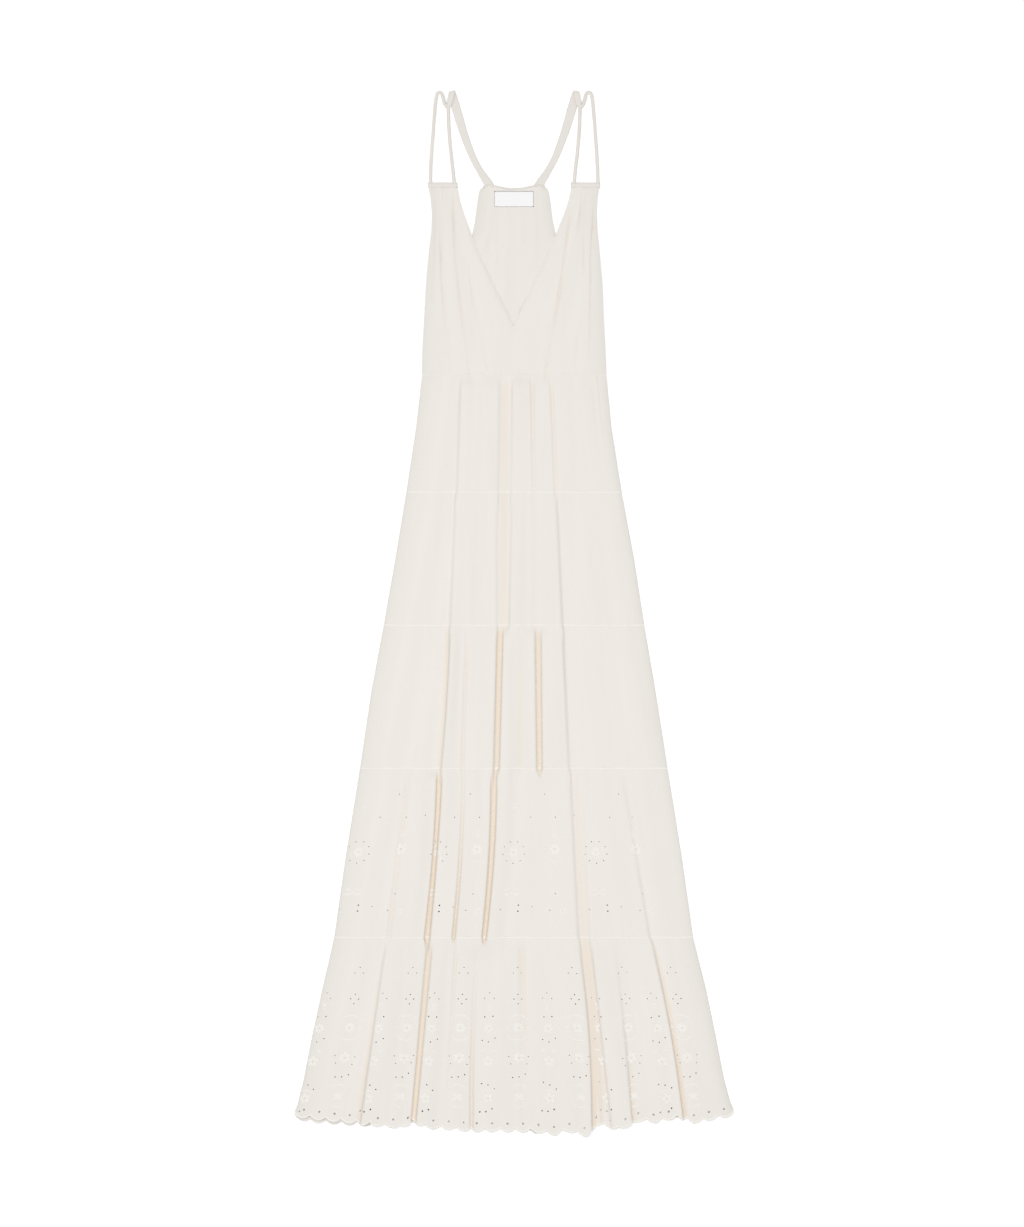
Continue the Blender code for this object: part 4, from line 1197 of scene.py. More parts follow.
def back_strap_mesh(mirrored, name):
    """The flat strap that turns over at its top, with soft rolled edges.

    Its ends are cut square to the seams there, and between them it is square to its own path.
    """
    side = -1.0 if mirrored else 1.0
    steps, cols = 6, 13
    slant = 0.28
    turn_end, last_turned = 24.0, 22
    plumpness, ripples, ripple_length, roll = 0.85 * MM, 0.12 * MM, 2.6 * MM, 0.16 * MM
    under_side = 30.0 * MM
    table = [(side * chart_x(point.col), chart_y(point.row), point.height * MM, point.width * MM)
             for point in BACK_STRAP]
    path = smooth_path(table, steps)
    points = []
    uvs = []
    travelled = 0.0
    for index, (x, y, z, width) in enumerate(path):
        place = Vector((x, y, z))
        before = Vector(path[max(index - 1, 0)][:3])
        after = Vector(path[min(index + 1, len(path) - 1)][:3])
        heading = (after - before).normalized()
        from_seam = smooth(index / steps)
        lean = Vector((side * slant * from_seam, -1.0, 0.0)).normalized()
        flat_heading = Vector((heading.x, heading.y, 0.0))
        if 0 < index < last_turned and flat_heading.length > 0.1:
            turned = from_seam * smooth((turn_end - index) / steps)
            lean = lean.lerp(-flat_heading.normalized(), turned).normalized()
        sideways = Vector((-lean.y, lean.x, 0.0)).normalized()
        across = heading.cross(sideways).normalized()
        if index:
            travelled += (place - Vector(path[index - 1][:3])).length
        for col in range(cols):
            share = 2.0 * col / (cols - 1) - 1.0
            beside = share * 0.5 * width
            plump = plumpness * math.sqrt(max(0.0, 1.0 - share ** 6))
            pucker = ripples * math.sin(travelled / ripple_length + 3.0 * share + float(mirrored))
            pucker += roll * math.cos(2.2 * math.pi * share)
            points.append(place + sideways * beside + across * (plump + pucker))
            uvs.append((beside, travelled))
            points.append(place + sideways * beside - across * plump)
            uvs.append((beside + under_side, travelled))
    faces = []
    ring = 2 * cols
    for index in range(len(path) - 1):
        base = index * ring
        for col in range(cols - 1):
            a = base + 2 * col
            faces.append((a, a + 2, a + 2 + ring, a + ring))
            faces.append((a + 1, a + 1 + ring, a + 3 + ring, a + 3))
        faces.append((base, base + ring, base + ring + 1, base + 1))
        end = base + 2 * (cols - 1)
        faces.append((end, end + 1, end + 1 + ring, end + ring))
    last = (len(path) - 1) * ring
    for col in range(cols - 1):
        faces.append((2 * col, 2 * col + 1, 2 * col + 3, 2 * col + 2))
        faces.append((last + 2 * col, last + 2 * col + 2, last + 2 * col + 3, last + 2 * col + 1))
    return closed_mesh(name, points, faces, uvs, WELD)


def pad_mesh(name, chart_cols, chart_rows, low, high, puckers=0, seed=0, square=3.0, arch=0.0):
    """A small flat pad with rounded edges and fine puckers, such as a band.

    It lies between two chart columns and two chart rows, and between two heights. A larger
    `square` makes its long edges less round, and `arch` bows them.
    """
    chance = random.Random(seed)
    cols, rows = 46, 12
    pucker_depth, pucker_width = 0.22 * MM, 0.9 * MM
    end_square = 14
    under_side = 0.05
    x0, x1 = [chart_x(col) for col in chart_cols]
    y1, y0 = [chart_y(row) for row in chart_rows]
    middle, half = 0.5 * (low + high), 0.5 * (high - low)
    points = []
    uvs = []
    waves = [(chance.uniform(0.0, 1.0), chance.uniform(0.6, 1.2)) for _ in range(puckers)]
    for face in (1.0, -1.0):
        for row in range(rows + 1):
            for col in range(cols + 1):
                s, t = 2.0 * col / cols - 1.0, 2.0 * row / rows - 1.0
                across_share = 0.5 + 0.5 * s
                across = between(x0, x1, across_share)
                along = between(y0, y1, 0.5 + 0.5 * t) + arch * (1.0 - s * s)
                round_off = max(0.0, 1.0 - abs(s) ** end_square) ** 0.5
                round_off *= max(0.0, 1.0 - abs(t) ** (2.0 * square)) ** 0.5
                lift = 0.0
                for place, size in waves:
                    distance = (across_share - place) * (x1 - x0)
                    lift -= pucker_depth * size * math.exp(-(distance / pucker_width) ** 2)
                z = middle + face * half * round_off + (lift * round_off if face > 0 else 0.0)
                points.append((across, along, z))
                uvs.append((across, along + (0.0 if face > 0 else under_side)))
    faces = []
    layer = (rows + 1) * (cols + 1)
    for row in range(rows):
        for col in range(cols):
            a = row * (cols + 1) + col
            b = a + cols + 1
            faces.append((a, a + 1, b + 1, b))
            faces.append((layer + a, layer + b, layer + b + 1, layer + a + 1))
    return closed_mesh(name, points, faces, uvs, WELD)


# Cutwork and satin stitch.

class Needlework:
    """Eyelets and satin stitch on one face of a cloth, and the holes that the eyelets need.

    A place is a (u, v) of the cloth. Motifs are drawn in millimetres from a place, across and down.
    """

    def __init__(self, cloth, face):
        under_plump = 0.45
        self.cloth = cloth
        self.face = face
        self.plump = 1.0 if face > 0.0 else under_plump
        self.holes = []
        self.centres = []
        self.points = []
        self.faces = []
        self.uvs = []

    def free_spot(self, place, reach):
        """Whether a motif of some reach lies on the cloth, off its edges and off upright cloth."""
        steepest = 0.6
        u, v = place
        cloth = self.cloth
        if not 2.0 < u < cloth.cols - 3.0 or not 0.5 < v < cloth.rows - 1.5:
            return False
        for across in (-reach, 0.0, reach):
            spot = cloth.shift(place, across, 0.0)
            if abs(float(cloth.read(cloth.normals, *spot)[2])) < steepest:
                return False
        return True

    def add(self, place, points, faces, uvs):
        """Keeps some stitching, with its faces turned away from the cloth."""
        outward = Vector(self.cloth.read(self.cloth.normals, *place)) * self.face
        total = Vector((0.0, 0.0, 0.0))
        for face in faces:
            a, b, c = (points[face[i]] for i in (0, 1, 2))
            total += (b - a).cross(c - a)
        first = len(self.points)
        self.points += points
        self.uvs += uvs
        for face in faces:
            corners = tuple(first + corner for corner in face)
            self.faces.append(corners if total.dot(outward) > 0.0 else tuple(reversed(corners)))

    def eyelet(self, place, radius):
        """A round hole with a stitched rim, unless another eyelet is too near."""
        least_gap, margin = 1.7 * MM, 0.8 * MM
        rim = 0.6 * MM + 0.2 * radius
        if not self.free_spot(place, radius + margin):
            return
        centre = self.cloth.spot(*place)
        for other, size in self.centres:
            if (other - centre).length < size + radius + least_gap:
                return
        self.centres.append((centre, radius))
        self.holes.append((place, radius))
        profile = ((radius - 0.06 * MM, -0.15), (radius + 0.02 * MM, 0.38),
                   (radius + 0.45 * rim, 0.38 + 0.26 * self.plump), (radius + rim, 0.15))
        points = []
        uvs = []
        faces = []
        count = len(profile)
        for step in range(HOLE_SIDES):
            angle = TURN * step / HOLE_SIDES
            for ring, (reach, lift) in enumerate(profile):
                spot = self.cloth.shift(place, reach * math.cos(angle), reach * math.sin(angle))
                points.append(self.cloth.spot(*spot, self.face * lift * MM))
                uvs.append((angle * radius, ring * 0.5 * rim))
            after = (step + 1) % HOLE_SIDES
            for ring in range(count - 1):
                a, b = step * count + ring, after * count + ring
                faces.append((a, a + 1, b + 1, b))
        self.add(place, points, faces, uvs)

    def ribbon(self, place, line, widths):
        """Satin stitch along a line of places across and down the cloth, plump in the middle."""
        reach = 1.2 * MM
        rim, clearance, least_plump = 0.12, 0.06, 0.35
        shape = ((-1.0, rim), (-0.6, 0.52), (0.0, 0.66), (0.6, 0.52), (1.0, rim))
        if not self.free_spot(self.cloth.shift(place, *line[len(line) // 2]), reach):
            return
        points = []
        uvs = []
        travelled = 0.0
        for index, (x, y) in enumerate(line):
            before = line[max(index - 1, 0)]
            after = line[min(index + 1, len(line) - 1)]
            step = (after[0] - before[0], after[1] - before[1])
            size = math.hypot(*step) or 1.0
            side = (-step[1] / size, step[0] / size)
            if index:
                travelled += math.hypot(x - line[index - 1][0], y - line[index - 1][1])
            plump = min(1.0, least_plump + widths[index] / MM) * self.plump
            for across, lift in shape:
                offset = across * widths[index]
                spot = self.cloth.shift(place, x + side[0] * offset, y + side[1] * offset)
                rise = rim + (lift - rim) * plump + clearance
                points.append(self.cloth.spot(*spot, self.face * rise * MM))
                uvs.append((travelled, offset))
        self.add(place, points, grid_faces(len(line), len(shape), turned=True), uvs)

    def leaf(self, place, x, y, length, width, turn):
        """One satin leaf or petal from a point of the motif outwards."""
        steps = 6
        fullness = 0.75
        line = []
        widths = []
        angle = math.radians(turn)
        for step in range(steps + 1):
            share = step / steps
            along = length * share
            line.append(((x + along * math.cos(angle)) * MM, (y + along * math.sin(angle)) * MM))
            swell = math.sin(math.pi * min(0.96, 0.08 + 0.9 * share)) ** fullness
            widths.append(0.5 * width * MM * swell)
        self.ribbon(place, line, widths)

    def arc(self, place, radius, start, end, width):
        """A satin arc round a point of the motif, thinner at both ends."""
        fewest, step_length = 6, 2.0
        steps = max(fewest, round(math.radians(abs(end - start)) * radius / step_length))
        line = []
        widths = []
        for step in range(steps + 1):
            share = step / steps
            angle = math.radians(between(start, end, share))
            line.append((radius * math.cos(angle) * MM, radius * math.sin(angle) * MM))
            widths.append(0.5 * width * MM * (0.3 + 0.7 * math.sin(math.pi * share)))
        self.ribbon(place, line, widths)

    def blossom(self, place, petals, length, width, turn, x=0.0, y=0.0):
        """Petals round a point of the motif, open in the middle."""
        near = 0.2 * length
        for petal in range(petals):
            degrees = turn + 360.0 * petal / petals
            angle = math.radians(degrees)
            self.leaf(place, x + near * math.cos(angle), y + near * math.sin(angle), length, width, degrees)

    def dots(self, place, spots, radius):
        """Eyelets at points of the motif."""
        for x, y in spots:
            self.eyelet(self.cloth.shift(place, x * MM, y * MM), radius * MM)

    def ring_of_dots(self, place, count, radius, size, turn):
        """Eyelets in a ring."""
        spots = []
        for step in range(count):
            angle = math.radians(turn + 360.0 * step / count)
            spots.append((radius * math.cos(angle), radius * math.sin(angle)))
        self.dots(place, spots, size)

    def mesh(self, name):
        """All the stitching as one mesh."""
        return mesh_from(name, self.points, self.faces, self.uvs)


def place_at(cloth, u, chart_row):
    """The place at a chart row, on a column of a cloth's points."""
    column = cloth.points[:, min(int(round(u)), cloth.cols - 1), 1]
    return u, float(np.interp(-chart_y(chart_row), -column, np.arange(cloth.rows)))


def repeats(cloth, start, pitch):
    """Places of a border's repeats across a cloth, as counted steps and columns of points."""
    from_edge = 3.0 * MM
    start_u, _ = cloth.find(chart_x(start[0]), chart_y(start[1]))
    run = cloth.run[cloth.rows * 2 // 3]
    middle = float(np.interp(start_u, np.arange(cloth.cols), run))
    steps = []
    for step in range(-int(middle / pitch) - 1, int((run[-1] - middle) / pitch) + 2):
        place = middle + step * pitch
        if from_edge < place < run[-1] - from_edge:
            steps.append((step, float(np.interp(place, run, np.arange(cloth.cols)))))
    return steps


def band_motifs(work):
    """The border of the fourth tier: a ringed medallion and a satin flower by turns."""
    cloth = work.cloth
    for step, u in repeats(cloth, BAND_START, BAND_PITCH):
        at = partial(place_at, cloth, u)
        if step % 2 == 0:
            work.blossom(at(852.0), 8, 6.0, 4.6, 12.0)
            work.ring_of_dots(at(852.0), 9, 15.5, RING_EYELET, 250.0)
            for turn in (35.0, 125.0, 215.0, 305.0):
                work.arc(at(852.0), 10.2, turn, turn + 58.0, 1.9)
            for side, turn in ((1.0, 0.0), (-1.0, 180.0)):
                work.leaf(at(892.0), side * 1.5, 4.0, 11.5, 3.4, turn - side * 8.0)
                work.leaf(at(892.0), side * 1.5, -3.0, 10.0, 2.8, turn - side * 6.0)
            work.leaf(at(892.0), 0.0, -3.0, 7.0, 3.0, 90.0)
            work.dots(at(908.0), [(10.8, -4.2), (10.8, 4.2)], BOW_EYELET)
            work.dots(at(908.0), [(-14.5, 1.5), (30.0, -2.0)], PINHOLE)
            work.leaf(at(806.0), 0.0, 0.0, 5.0, 2.4, 60.0)
            work.leaf(at(806.0), 0.0, 0.0, 5.0, 2.4, 120.0)
            work.dots(at(817.0), [(-27.0, -3.0), (23.0, 0.0)], PINHOLE)
        else:
            work.blossom(at(849.0), 6, 7.0, 5.2, 0.0)
            for turn in (60.0, 120.0, 270.0):
                work.leaf(at(833.0), 0.0, 1.0, 6.0, 2.8, turn)
            work.arc(at(852.0), 13.0, 60.0, 120.0, 2.2)
            work.dots(at(893.5), [(-1.0, 0.0)], PINHOLE)
            work.dots(at(910.0), [(-9.0, 0.0)], PINHOLE)
            work.blossom(at(912.0), 6, 4.6, 2.8, 20.0, 9.0, -1.0)
            work.dots(at(817.0), [(2.0, 0.0)], PINHOLE)
            work.dots(at(794.0), [(-12.0, 0.0)], PINHOLE)
            work.leaf(at(784.0), 8.0, 0.0, 5.0, 2.4, 80.0)


def hem_motifs(work):
    """The deep border above the hem: two motifs by turns, with eyelets between them."""
    cloth = work.cloth
    for step, u in repeats(cloth, HEM_START, HEM_PITCH):
        at = partial(place_at, cloth, u)
        if step % 2 == 0:
            work.dots(at(971), [(0.0, -5.5), (-6.0, 2.5), (6.0, 2.5)], PINHOLE)
            work.dots(at(998.7), [(0.0, -6.6), (-5.6, 0.0), (5.6, 0.0), (0.0, 6.6)], SMALL_EYELET)
            work.blossom(at(1027.5), 8, 6.4, 4.8, 0.0)
            work.arc(at(1027.5), 17.5, 208.0, 332.0, 2.6)
            work.arc(at(1027.5), 17.5, 28.0, 152.0, 2.6)
            for side, turn in ((1.0, 0.0), (-1.0, 180.0)):
                work.leaf(at(1027.5), 11.5 * side, 0.0, 6.0, 2.8, turn)
            work.blossom(at(1057.5), 6, 7.2, 5.4, 30.0)
            work.dots(at(1054.0), [(-14.0, 3.0), (14.0, 3.0), (-11.5, 13.5), (11.5, 13.5)], PINHOLE)
            work.dots(at(1076.5), [(-9.0, 1.0), (0.0, 0.0), (9.0, -3.6)], EYELET)
            work.arc(at(1094.0), 13.5, 212.0, 328.0, 2.6)
            for turn in (-150.0, -118.0, -90.0, -62.0, -30.0, 20.0, 160.0):
                work.leaf(at(1097.0), 0.0, 1.0, 9.0, 3.4, turn)
            work.arc(at(1094.0), 18.0, 52.0, 128.0, 2.6)
        else:
            work.dots(at(994.5), [(0.0, -2.6), (-6.5, 4.8), (6.5, 4.8)], PINHOLE)
            for turn in (-122.0, -58.0, 90.0):
                work.leaf(at(1004.0), 0.0, 3.0, 6.6, 2.8, turn)
            work.dots(at(1016.0), [(-5.6, 1.0), (5.6, 0.0)], EYELET)
            work.blossom(at(1028.0), 6, 6.2, 4.6, 15.0)
            work.dots(at(1041.0), [(-8.6, -2.0), (0.0, 0.8), (9.4, -4.6)], SMALL_EYELET)
            work.leaf(at(1050.0), -3.0, 0.0, 9.0, 3.2, 168.0)
            work.leaf(at(1050.0), 3.0, 0.0, 9.0, 3.2, 12.0)
            work.blossom(at(1061.0), 5, 6.8, 5.4, 52.0)
            work.dots(at(1084.0), [(-9.0, -2.0), (0.0, 0.6), (9.0, 6.0)], EYELET)
            work.arc(at(1100.0), 14.0, 218.0, 322.0, 2.4)
            work.blossom(at(1098.0), 5, 6.8, 5.2, -34.0)
            work.dots(at(1110.5), [(-11.5, 1.0), (-3.0, 1.0), (5.5, -3.0)], HEM_EYELET)


def scallop_stitch(work, lobes):
    """Satin edging along the scalloped hem, and an eyelet in the middle of each scallop."""
    cloth = work.cloth
    last = cloth.rows - 1.001
    flat_row = -8
    plump = 1.0 if work.face > 0.0 else 0.7
    shape = ((0.10, -0.28), (-0.3, 0.10), (0.2, 0.44), (1.2, 0.6), (2.3, 0.44), (3.0, 0.12))
    points = []
    uvs = []
    for col in range(cloth.cols):
        for down, lift in shape:
            if down > 0.0 and lift > 0.0:
                spot = cloth.shift((float(col), last), 0.0, -down * MM)
                place = cloth.spot(*spot, work.face * lift * MM * plump)
            else:
                place = cloth.spot(col, last) + Vector((0.0, down * MM, work.face * lift * MM))
            points.append(place)
            uvs.append((float(cloth.run[flat_row][col]), down * MM))
    work.add((0.5 * cloth.cols, last), points, grid_faces(cloth.cols, len(shape)), uvs)
    for lobe in range(round(lobes[-1])):
        u = float(np.interp(lobe + 0.5, lobes, np.arange(cloth.cols)))
        work.eyelet(cloth.shift((u, last), 0.0, -EYELET_HEIGHT), SCALLOP_EYELET * MM)


# Finishes.

class Wiring:
    """Adds nodes to a tree. A value may be a number, a colour or another node's output."""

    def __init__(self, tree):
        self.tree = tree

    def put(self, socket, value):
        """Sets a socket, or links an output to it."""
        if isinstance(value, bpy.types.NodeSocket):
            self.tree.links.new(value, socket)
        else:
            socket.default_value = value

    def math(self, kind, first, second=0.0):
        """The result of one kind of sum on one or two values."""
        node = self.tree.nodes.new("ShaderNodeMath")
        node.operation = kind
        self.put(node.inputs[0], first)
        self.put(node.inputs[1], second)
        return node.outputs[0]

    def plus(self, first, second):
        """The sum of two values."""
        return self.math("ADD", first, second)

    def times(self, first, second):
        """The product of two values."""
        return self.math("MULTIPLY", first, second)

    def sway(self, value, length):
        """A wave from 0 to 1 that repeats over a length."""
        turns = self.times(self.math("DIVIDE", value, length), TURN)
        return self.plus(self.times(self.math("SINE", turns), 0.5), 0.5)

    def stretch(self, vector, factors):
        """A vector with each part multiplied."""
        node = self.tree.nodes.new("ShaderNodeVectorMath")
        node.operation = "MULTIPLY"
        self.put(node.inputs[0], vector)
        self.put(node.inputs[1], factors)
        return node.outputs[0]

    def parts(self, vector):
        """The three parts of a vector."""
        node = self.tree.nodes.new("ShaderNodeSeparateXYZ")
        self.put(node.inputs[0], vector)
        return node.outputs

    def noise(self, vector, scales, detail):
        """Soft noise from 0 to 1, with its own scale along each part of a vector."""
        node = self.tree.nodes.new("ShaderNodeTexNoise")
        self.put(node.inputs["Vector"], self.stretch(vector, scales))
        node.inputs["Scale"].default_value = 1.0
        node.inputs["Detail"].default_value = detail
        return node.outputs[0]

    def blend(self, share, first, second, kind="MIX"):
        """A blend of two colours."""
        node = self.tree.nodes.new("ShaderNodeMix")
        node.data_type = "RGBA"
        node.blend_type = kind
        self.put(node.inputs["Factor"], share)
        self.put(node.inputs[6], first)
        self.put(node.inputs[7], second)
        return node.outputs[2]

    def spread(self, value, low, high):
        """A value from 0 to 1 spread between two others."""
        return self.plus(self.times(value, high - low), low)


def new_group(name, inputs, outputs):
    """A shader group with named inputs and outputs; returns its wiring and its two end nodes."""
    tree = bpy.data.node_groups.new(name, "ShaderNodeTree")
    for label, kind, value in inputs:
        socket = tree.interface.new_socket(name=label, in_out="INPUT", socket_type="NodeSocket" + kind)
        if value is not None:
            socket.default_value = value
    for label, kind in outputs:
        tree.interface.new_socket(name=label, in_out="OUTPUT", socket_type="NodeSocket" + kind)
    return Wiring(tree), tree.nodes.new("NodeGroupInput").outputs, tree.nodes.new("NodeGroupOutput").inputs


def plain_weave_group():
    """Crossing threads with slubs, a fine crinkle down the cloth and slow clouds of tone."""
    slubs_down, slubs_across = (900.0, 60.0, 1.0), (60.0, 900.0, 1.0)
    crinkle_scales, cloud_scales, detail = (330.0, 26.0, 1.0), (42.0, 3.5, 1.0), 3.0
    wiring, given, result = new_group(
        "plain_weave",
        [("Place", "Vector", None), ("Thread Spacing", "Float", 0.0005), ("Crinkle", "Float", 0.6)],
        [("Shade", "Float"), ("Bump Height", "Float")])
    x, y, _ = wiring.parts(given["Place"])
    spacing = given["Thread Spacing"]
    warp = wiring.sway(x, spacing)
    weft = wiring.sway(y, spacing)
    double = wiring.times(spacing, 2.0)
    swap = wiring.times(wiring.sway(x, double), wiring.sway(y, double))
    threads = wiring.plus(wiring.times(warp, swap),
                          wiring.times(weft, wiring.math("SUBTRACT", 1.0, swap)))
    slubs = wiring.plus(wiring.noise(given["Place"], slubs_down, 1.0),
                        wiring.noise(given["Place"], slubs_across, 1.0))
    crinkle = wiring.noise(given["Place"], crinkle_scales, detail)
    crinkle = wiring.times(crinkle, given["Crinkle"])
    cloudy = wiring.noise(given["Place"], cloud_scales, detail)
    shade = wiring.plus(wiring.spread(threads, 0.965, 1.0), wiring.spread(slubs, -0.016, 0.0))
    shade = wiring.plus(shade, wiring.spread(cloudy, -0.035, 0.035))
    shade = wiring.plus(shade, wiring.times(crinkle, 0.012))
    height = wiring.plus(wiring.times(threads, 0.12), wiring.times(slubs, 0.1))
    wiring.put(result["Shade"], shade)
    wiring.put(result["Bump Height"], wiring.plus(height, crinkle))
    return wiring.tree


def fold_shade_group():
    """Painted shade: a warm darkening where cloth lies below the cloth beside it, and a grey darkening near
    the rolled side edges.
    """
    # Near the rolled side edges the colour is darkened to this share: painted shade.
    side_shade = 0.93
    wiring, given, result = new_group(
        "fold_shade",
        [("Colour", "Color", (0.8, 0.8, 0.8, 1.0)), ("Hollow Colour", "Color", (0.8, 0.7, 0.6, 1.0)),
         ("Hollow", "Float", 0.0), ("Side Fold", "Float", 0.0), ("Shade", "Float", 1.0)],
        [("Colour", "Color")])
    # Hollow is the share of painted fold shade, Hollow Colour its warm tint, and Side Fold the share of
    # painted edge shade.
    grey = wiring.tree.nodes.new("ShaderNodeCombineColor")
    shade = wiring.times(given["Shade"], wiring.spread(given["Side Fold"], 1.0, side_shade))
    for socket in grey.inputs[:3]:
        wiring.put(socket, shade)
    shaded = wiring.blend(1.0, given["Colour"], grey.outputs[0], "MULTIPLY")
    warmed = wiring.blend(1.0, shaded, given["Hollow Colour"], "MULTIPLY")
    wiring.put(result["Colour"], wiring.blend(given["Hollow"], shaded, warmed))
    return wiring.tree


def satin_stitch_group():
    """Threads laid side by side along a line of stitching, which wander a little."""
    wander_scales, wander_width = (500.0, 900.0, 1.0), 0.4 * MM
    wiring, given, result = new_group(
        "satin_stitch",
        [("Place", "Vector", None), ("Thread Spacing", "Float", 0.0004)],
        [("Shade", "Float"), ("Roughness", "Float"), ("Bump Height", "Float")])
    wander = wiring.noise(given["Place"], wander_scales, 1.0)
    along = wiring.plus(wiring.parts(given["Place"])[0], wiring.times(wander, wander_width))
    thread = wiring.sway(along, given["Thread Spacing"])
    wiring.put(result["Shade"], wiring.spread(thread, 0.93, 1.0))
    wiring.put(result["Roughness"], wiring.spread(wander, 0.42, 0.58))
    wiring.put(result["Bump Height"], thread)
    return wiring.tree


def tape_group():
    """A woven tape with close ribs across it."""
    weft_spacing, slub_scales = 0.3 * MM, (120.0, 900.0, 1.0)
    wiring, given, result = new_group(
        "woven_tape",
        [("Place", "Vector", None), ("Rib Spacing", "Float", 0.00045)],
        [("Shade", "Float"), ("Bump Height", "Float")])
    x, y, _ = wiring.parts(given["Place"])
    rib = wiring.sway(x, given["Rib Spacing"])
    weft = wiring.sway(y, weft_spacing)
    slub = wiring.noise(given["Place"], slub_scales, 2.0)
    height = wiring.plus(wiring.times(rib, 0.6), wiring.times(weft, 0.3))
    shade = wiring.plus(wiring.spread(rib, 0.965, 1.0), wiring.spread(slub, -0.02, 0.01))
    wiring.put(result["Shade"], shade)
    wiring.put(result["Bump Height"], wiring.plus(height, wiring.times(slub, 0.3)))
    return wiring.tree


def new_finish(name, roughness, sheen):
    """An empty finish with its wiring and its shader."""
    gloss, sheen_roughness = 0.25, 0.6
    material = bpy.data.materials.new(name)
    material.use_nodes = True
    shader = material.node_tree.nodes["Principled BSDF"]
    shader.inputs["Roughness"].default_value = roughness
    shader.inputs["Specular IOR Level"].default_value = gloss
    shader.inputs["Sheen Weight"].default_value = sheen
    shader.inputs["Sheen Roughness"].default_value = sheen_roughness
    return material, Wiring(material.node_tree), shader


def add_group(wiring, tree, **values):
    """A group node with its inputs set; underscores stand for spaces in their names."""
    node = wiring.tree.nodes.new("ShaderNodeGroup")
    node.node_tree = tree
    for label, value in values.items():
        wiring.put(node.inputs[label.replace("_", " ")], value)
    return node.outputs


def flat_place(wiring):
    """The place on the flat cloth, in metres."""
    node = wiring.tree.nodes.new("ShaderNodeUVMap")
    node.uv_map = "flat_cloth"
    return node.outputs[0]


def add_bump(wiring, shader, height, distance):
    """Relief on a finish."""
    strength = 0.6
    node = wiring.tree.nodes.new("ShaderNodeBump")
    node.inputs["Strength"].default_value = strength
    node.inputs["Distance"].default_value = distance
    wiring.put(node.inputs["Height"], height)
    wiring.put(shader.inputs["Normal"], node.outputs[0])


def cotton_finish(name, groups, colour, spacing, crinkle, turn=False):
    """Woven cotton; turned cloth is cut on the bias, as for cords and bands."""
    # Warm darker tint painted into folds as shade.
    painted_fold_colour = (0.975, 0.90, 0.815, 1.0)
    bias = math.radians(45.0)
    relief = 0.3 * MM
    material, wiring, shader = new_finish(name, 0.88, 0.05)
    place = flat_place(wiring)
    if turn:
        rotate = wiring.tree.nodes.new("ShaderNodeVectorRotate")
        rotate.inputs["Angle"].default_value = bias
        wiring.put(rotate.inputs["Vector"], place)
        place = rotate.outputs[0]
    weave = add_group(wiring, groups["weave"], Place=place, Thread_Spacing=spacing, Crinkle=crinkle)
    # Point attributes that carry the painted fold shade and the painted edge shade.
    worked = {}
    for label in ("painted_shade_depth", "painted_edge_shade"):
        node = wiring.tree.nodes.new("ShaderNodeAttribute")
        node.attribute_name = label
        worked[label] = node.outputs["Fac"]
    # The painted shade is mixed into the base colour here.
    shade = add_group(wiring, groups["fold"], Colour=colour, Hollow_Colour=painted_fold_colour,
                      Hollow=worked["painted_shade_depth"], Side_Fold=worked["painted_edge_shade"], Shade=weave["Shade"])
    wiring.put(shader.inputs["Base Color"], shade["Colour"])
    add_bump(wiring, shader, weave["Bump Height"], relief)
    return material


def satin_finish(name, groups, colour, spacing):
    """Satin stitch in a soft bright thread."""
    material, wiring, shader = new_finish(name, 0.5, 0.06)
    stitch = add_group(wiring, groups["satin"], Place=flat_place(wiring), Thread_Spacing=spacing)
    shade = add_group(wiring, groups["fold"], Colour=colour, Shade=stitch["Shade"])
    wiring.put(shader.inputs["Base Color"], shade["Colour"])
    wiring.put(shader.inputs["Roughness"], stitch["Roughness"])
    add_bump(wiring, shader, stitch["Bump Height"], 0.1 * MM)
    return material


def tape_finish(name, groups, colour):
    """Blank woven label tape."""
    material, wiring, shader = new_finish(name, 0.7, 0.05)
    tape = add_group(wiring, groups["tape"], Place=flat_place(wiring))
    shade = add_group(wiring, groups["fold"], Colour=colour, Shade=tape["Shade"])
    wiring.put(shader.inputs["Base Color"], shade["Colour"])
    add_bump(wiring, shader, tape["Bump Height"], 0.1 * MM)
    return material


def build_floor():
    """A plain pale floor, just under the cloth."""
    half_size = 12.0
    drop = 0.3 * MM
    mesh = bpy.data.meshes.new("floor")
    corners = [(x * half_size, y * half_size, -drop) for x, y in ((-1, -1), (1, -1), (1, 1), (-1, 1))]
    mesh.from_pydata(corners, [], [(0, 1, 2, 3)])
    floor = bpy.data.objects.new("floor", mesh)
    bpy.context.collection.objects.link(floor)
    material = bpy.data.materials.new("floor")
    material.use_nodes = True
    shader = material.node_tree.nodes["Principled BSDF"]
    for label, value in (
        ("Base Color", (0.95, 0.95, 0.95, 1.0)),
        ("Roughness", 0.9),
        ("Specular IOR Level", 0.0),
        ("Emission Color", (1.0, 1.0, 1.0, 1.0)),
        ("Emission Strength", 0.16),
    ):
        shader.inputs[label].default_value = value
    mesh.materials.append(material)


def build_light():
    """A pale room and two soft lights that face the middle of the dress."""
    room_strength = 0.5
    world = bpy.data.worlds.new("room")
    world.use_nodes = True
    background = world.node_tree.nodes["Background"]
    background.inputs["Color"].default_value = (1.0, 1.0, 1.0, 1.0)
    background.inputs["Strength"].default_value = room_strength
    bpy.context.scene.world = world
    for name, place, size, power in (
        ("soft_key", (-0.7, 0.4, 3.4), 2.6, 46.0),
        ("soft_fill", (0.7, -1.1, 3.8), 3.0, 40.0),
    ):
        data = bpy.data.lights.new(name, "AREA")
        data.shape = "DISK"
        data.size = size
        data.energy = power
        light = bpy.data.objects.new(name, data)
        bpy.context.collection.objects.link(light)
        light.location = place
        light.rotation_euler = (-Vector(place)).to_track_quat("-Z", "Y").to_euler()
    bpy.context.scene.view_settings.view_transform = "Standard"


# The finished pieces of the dress, in their finishes.

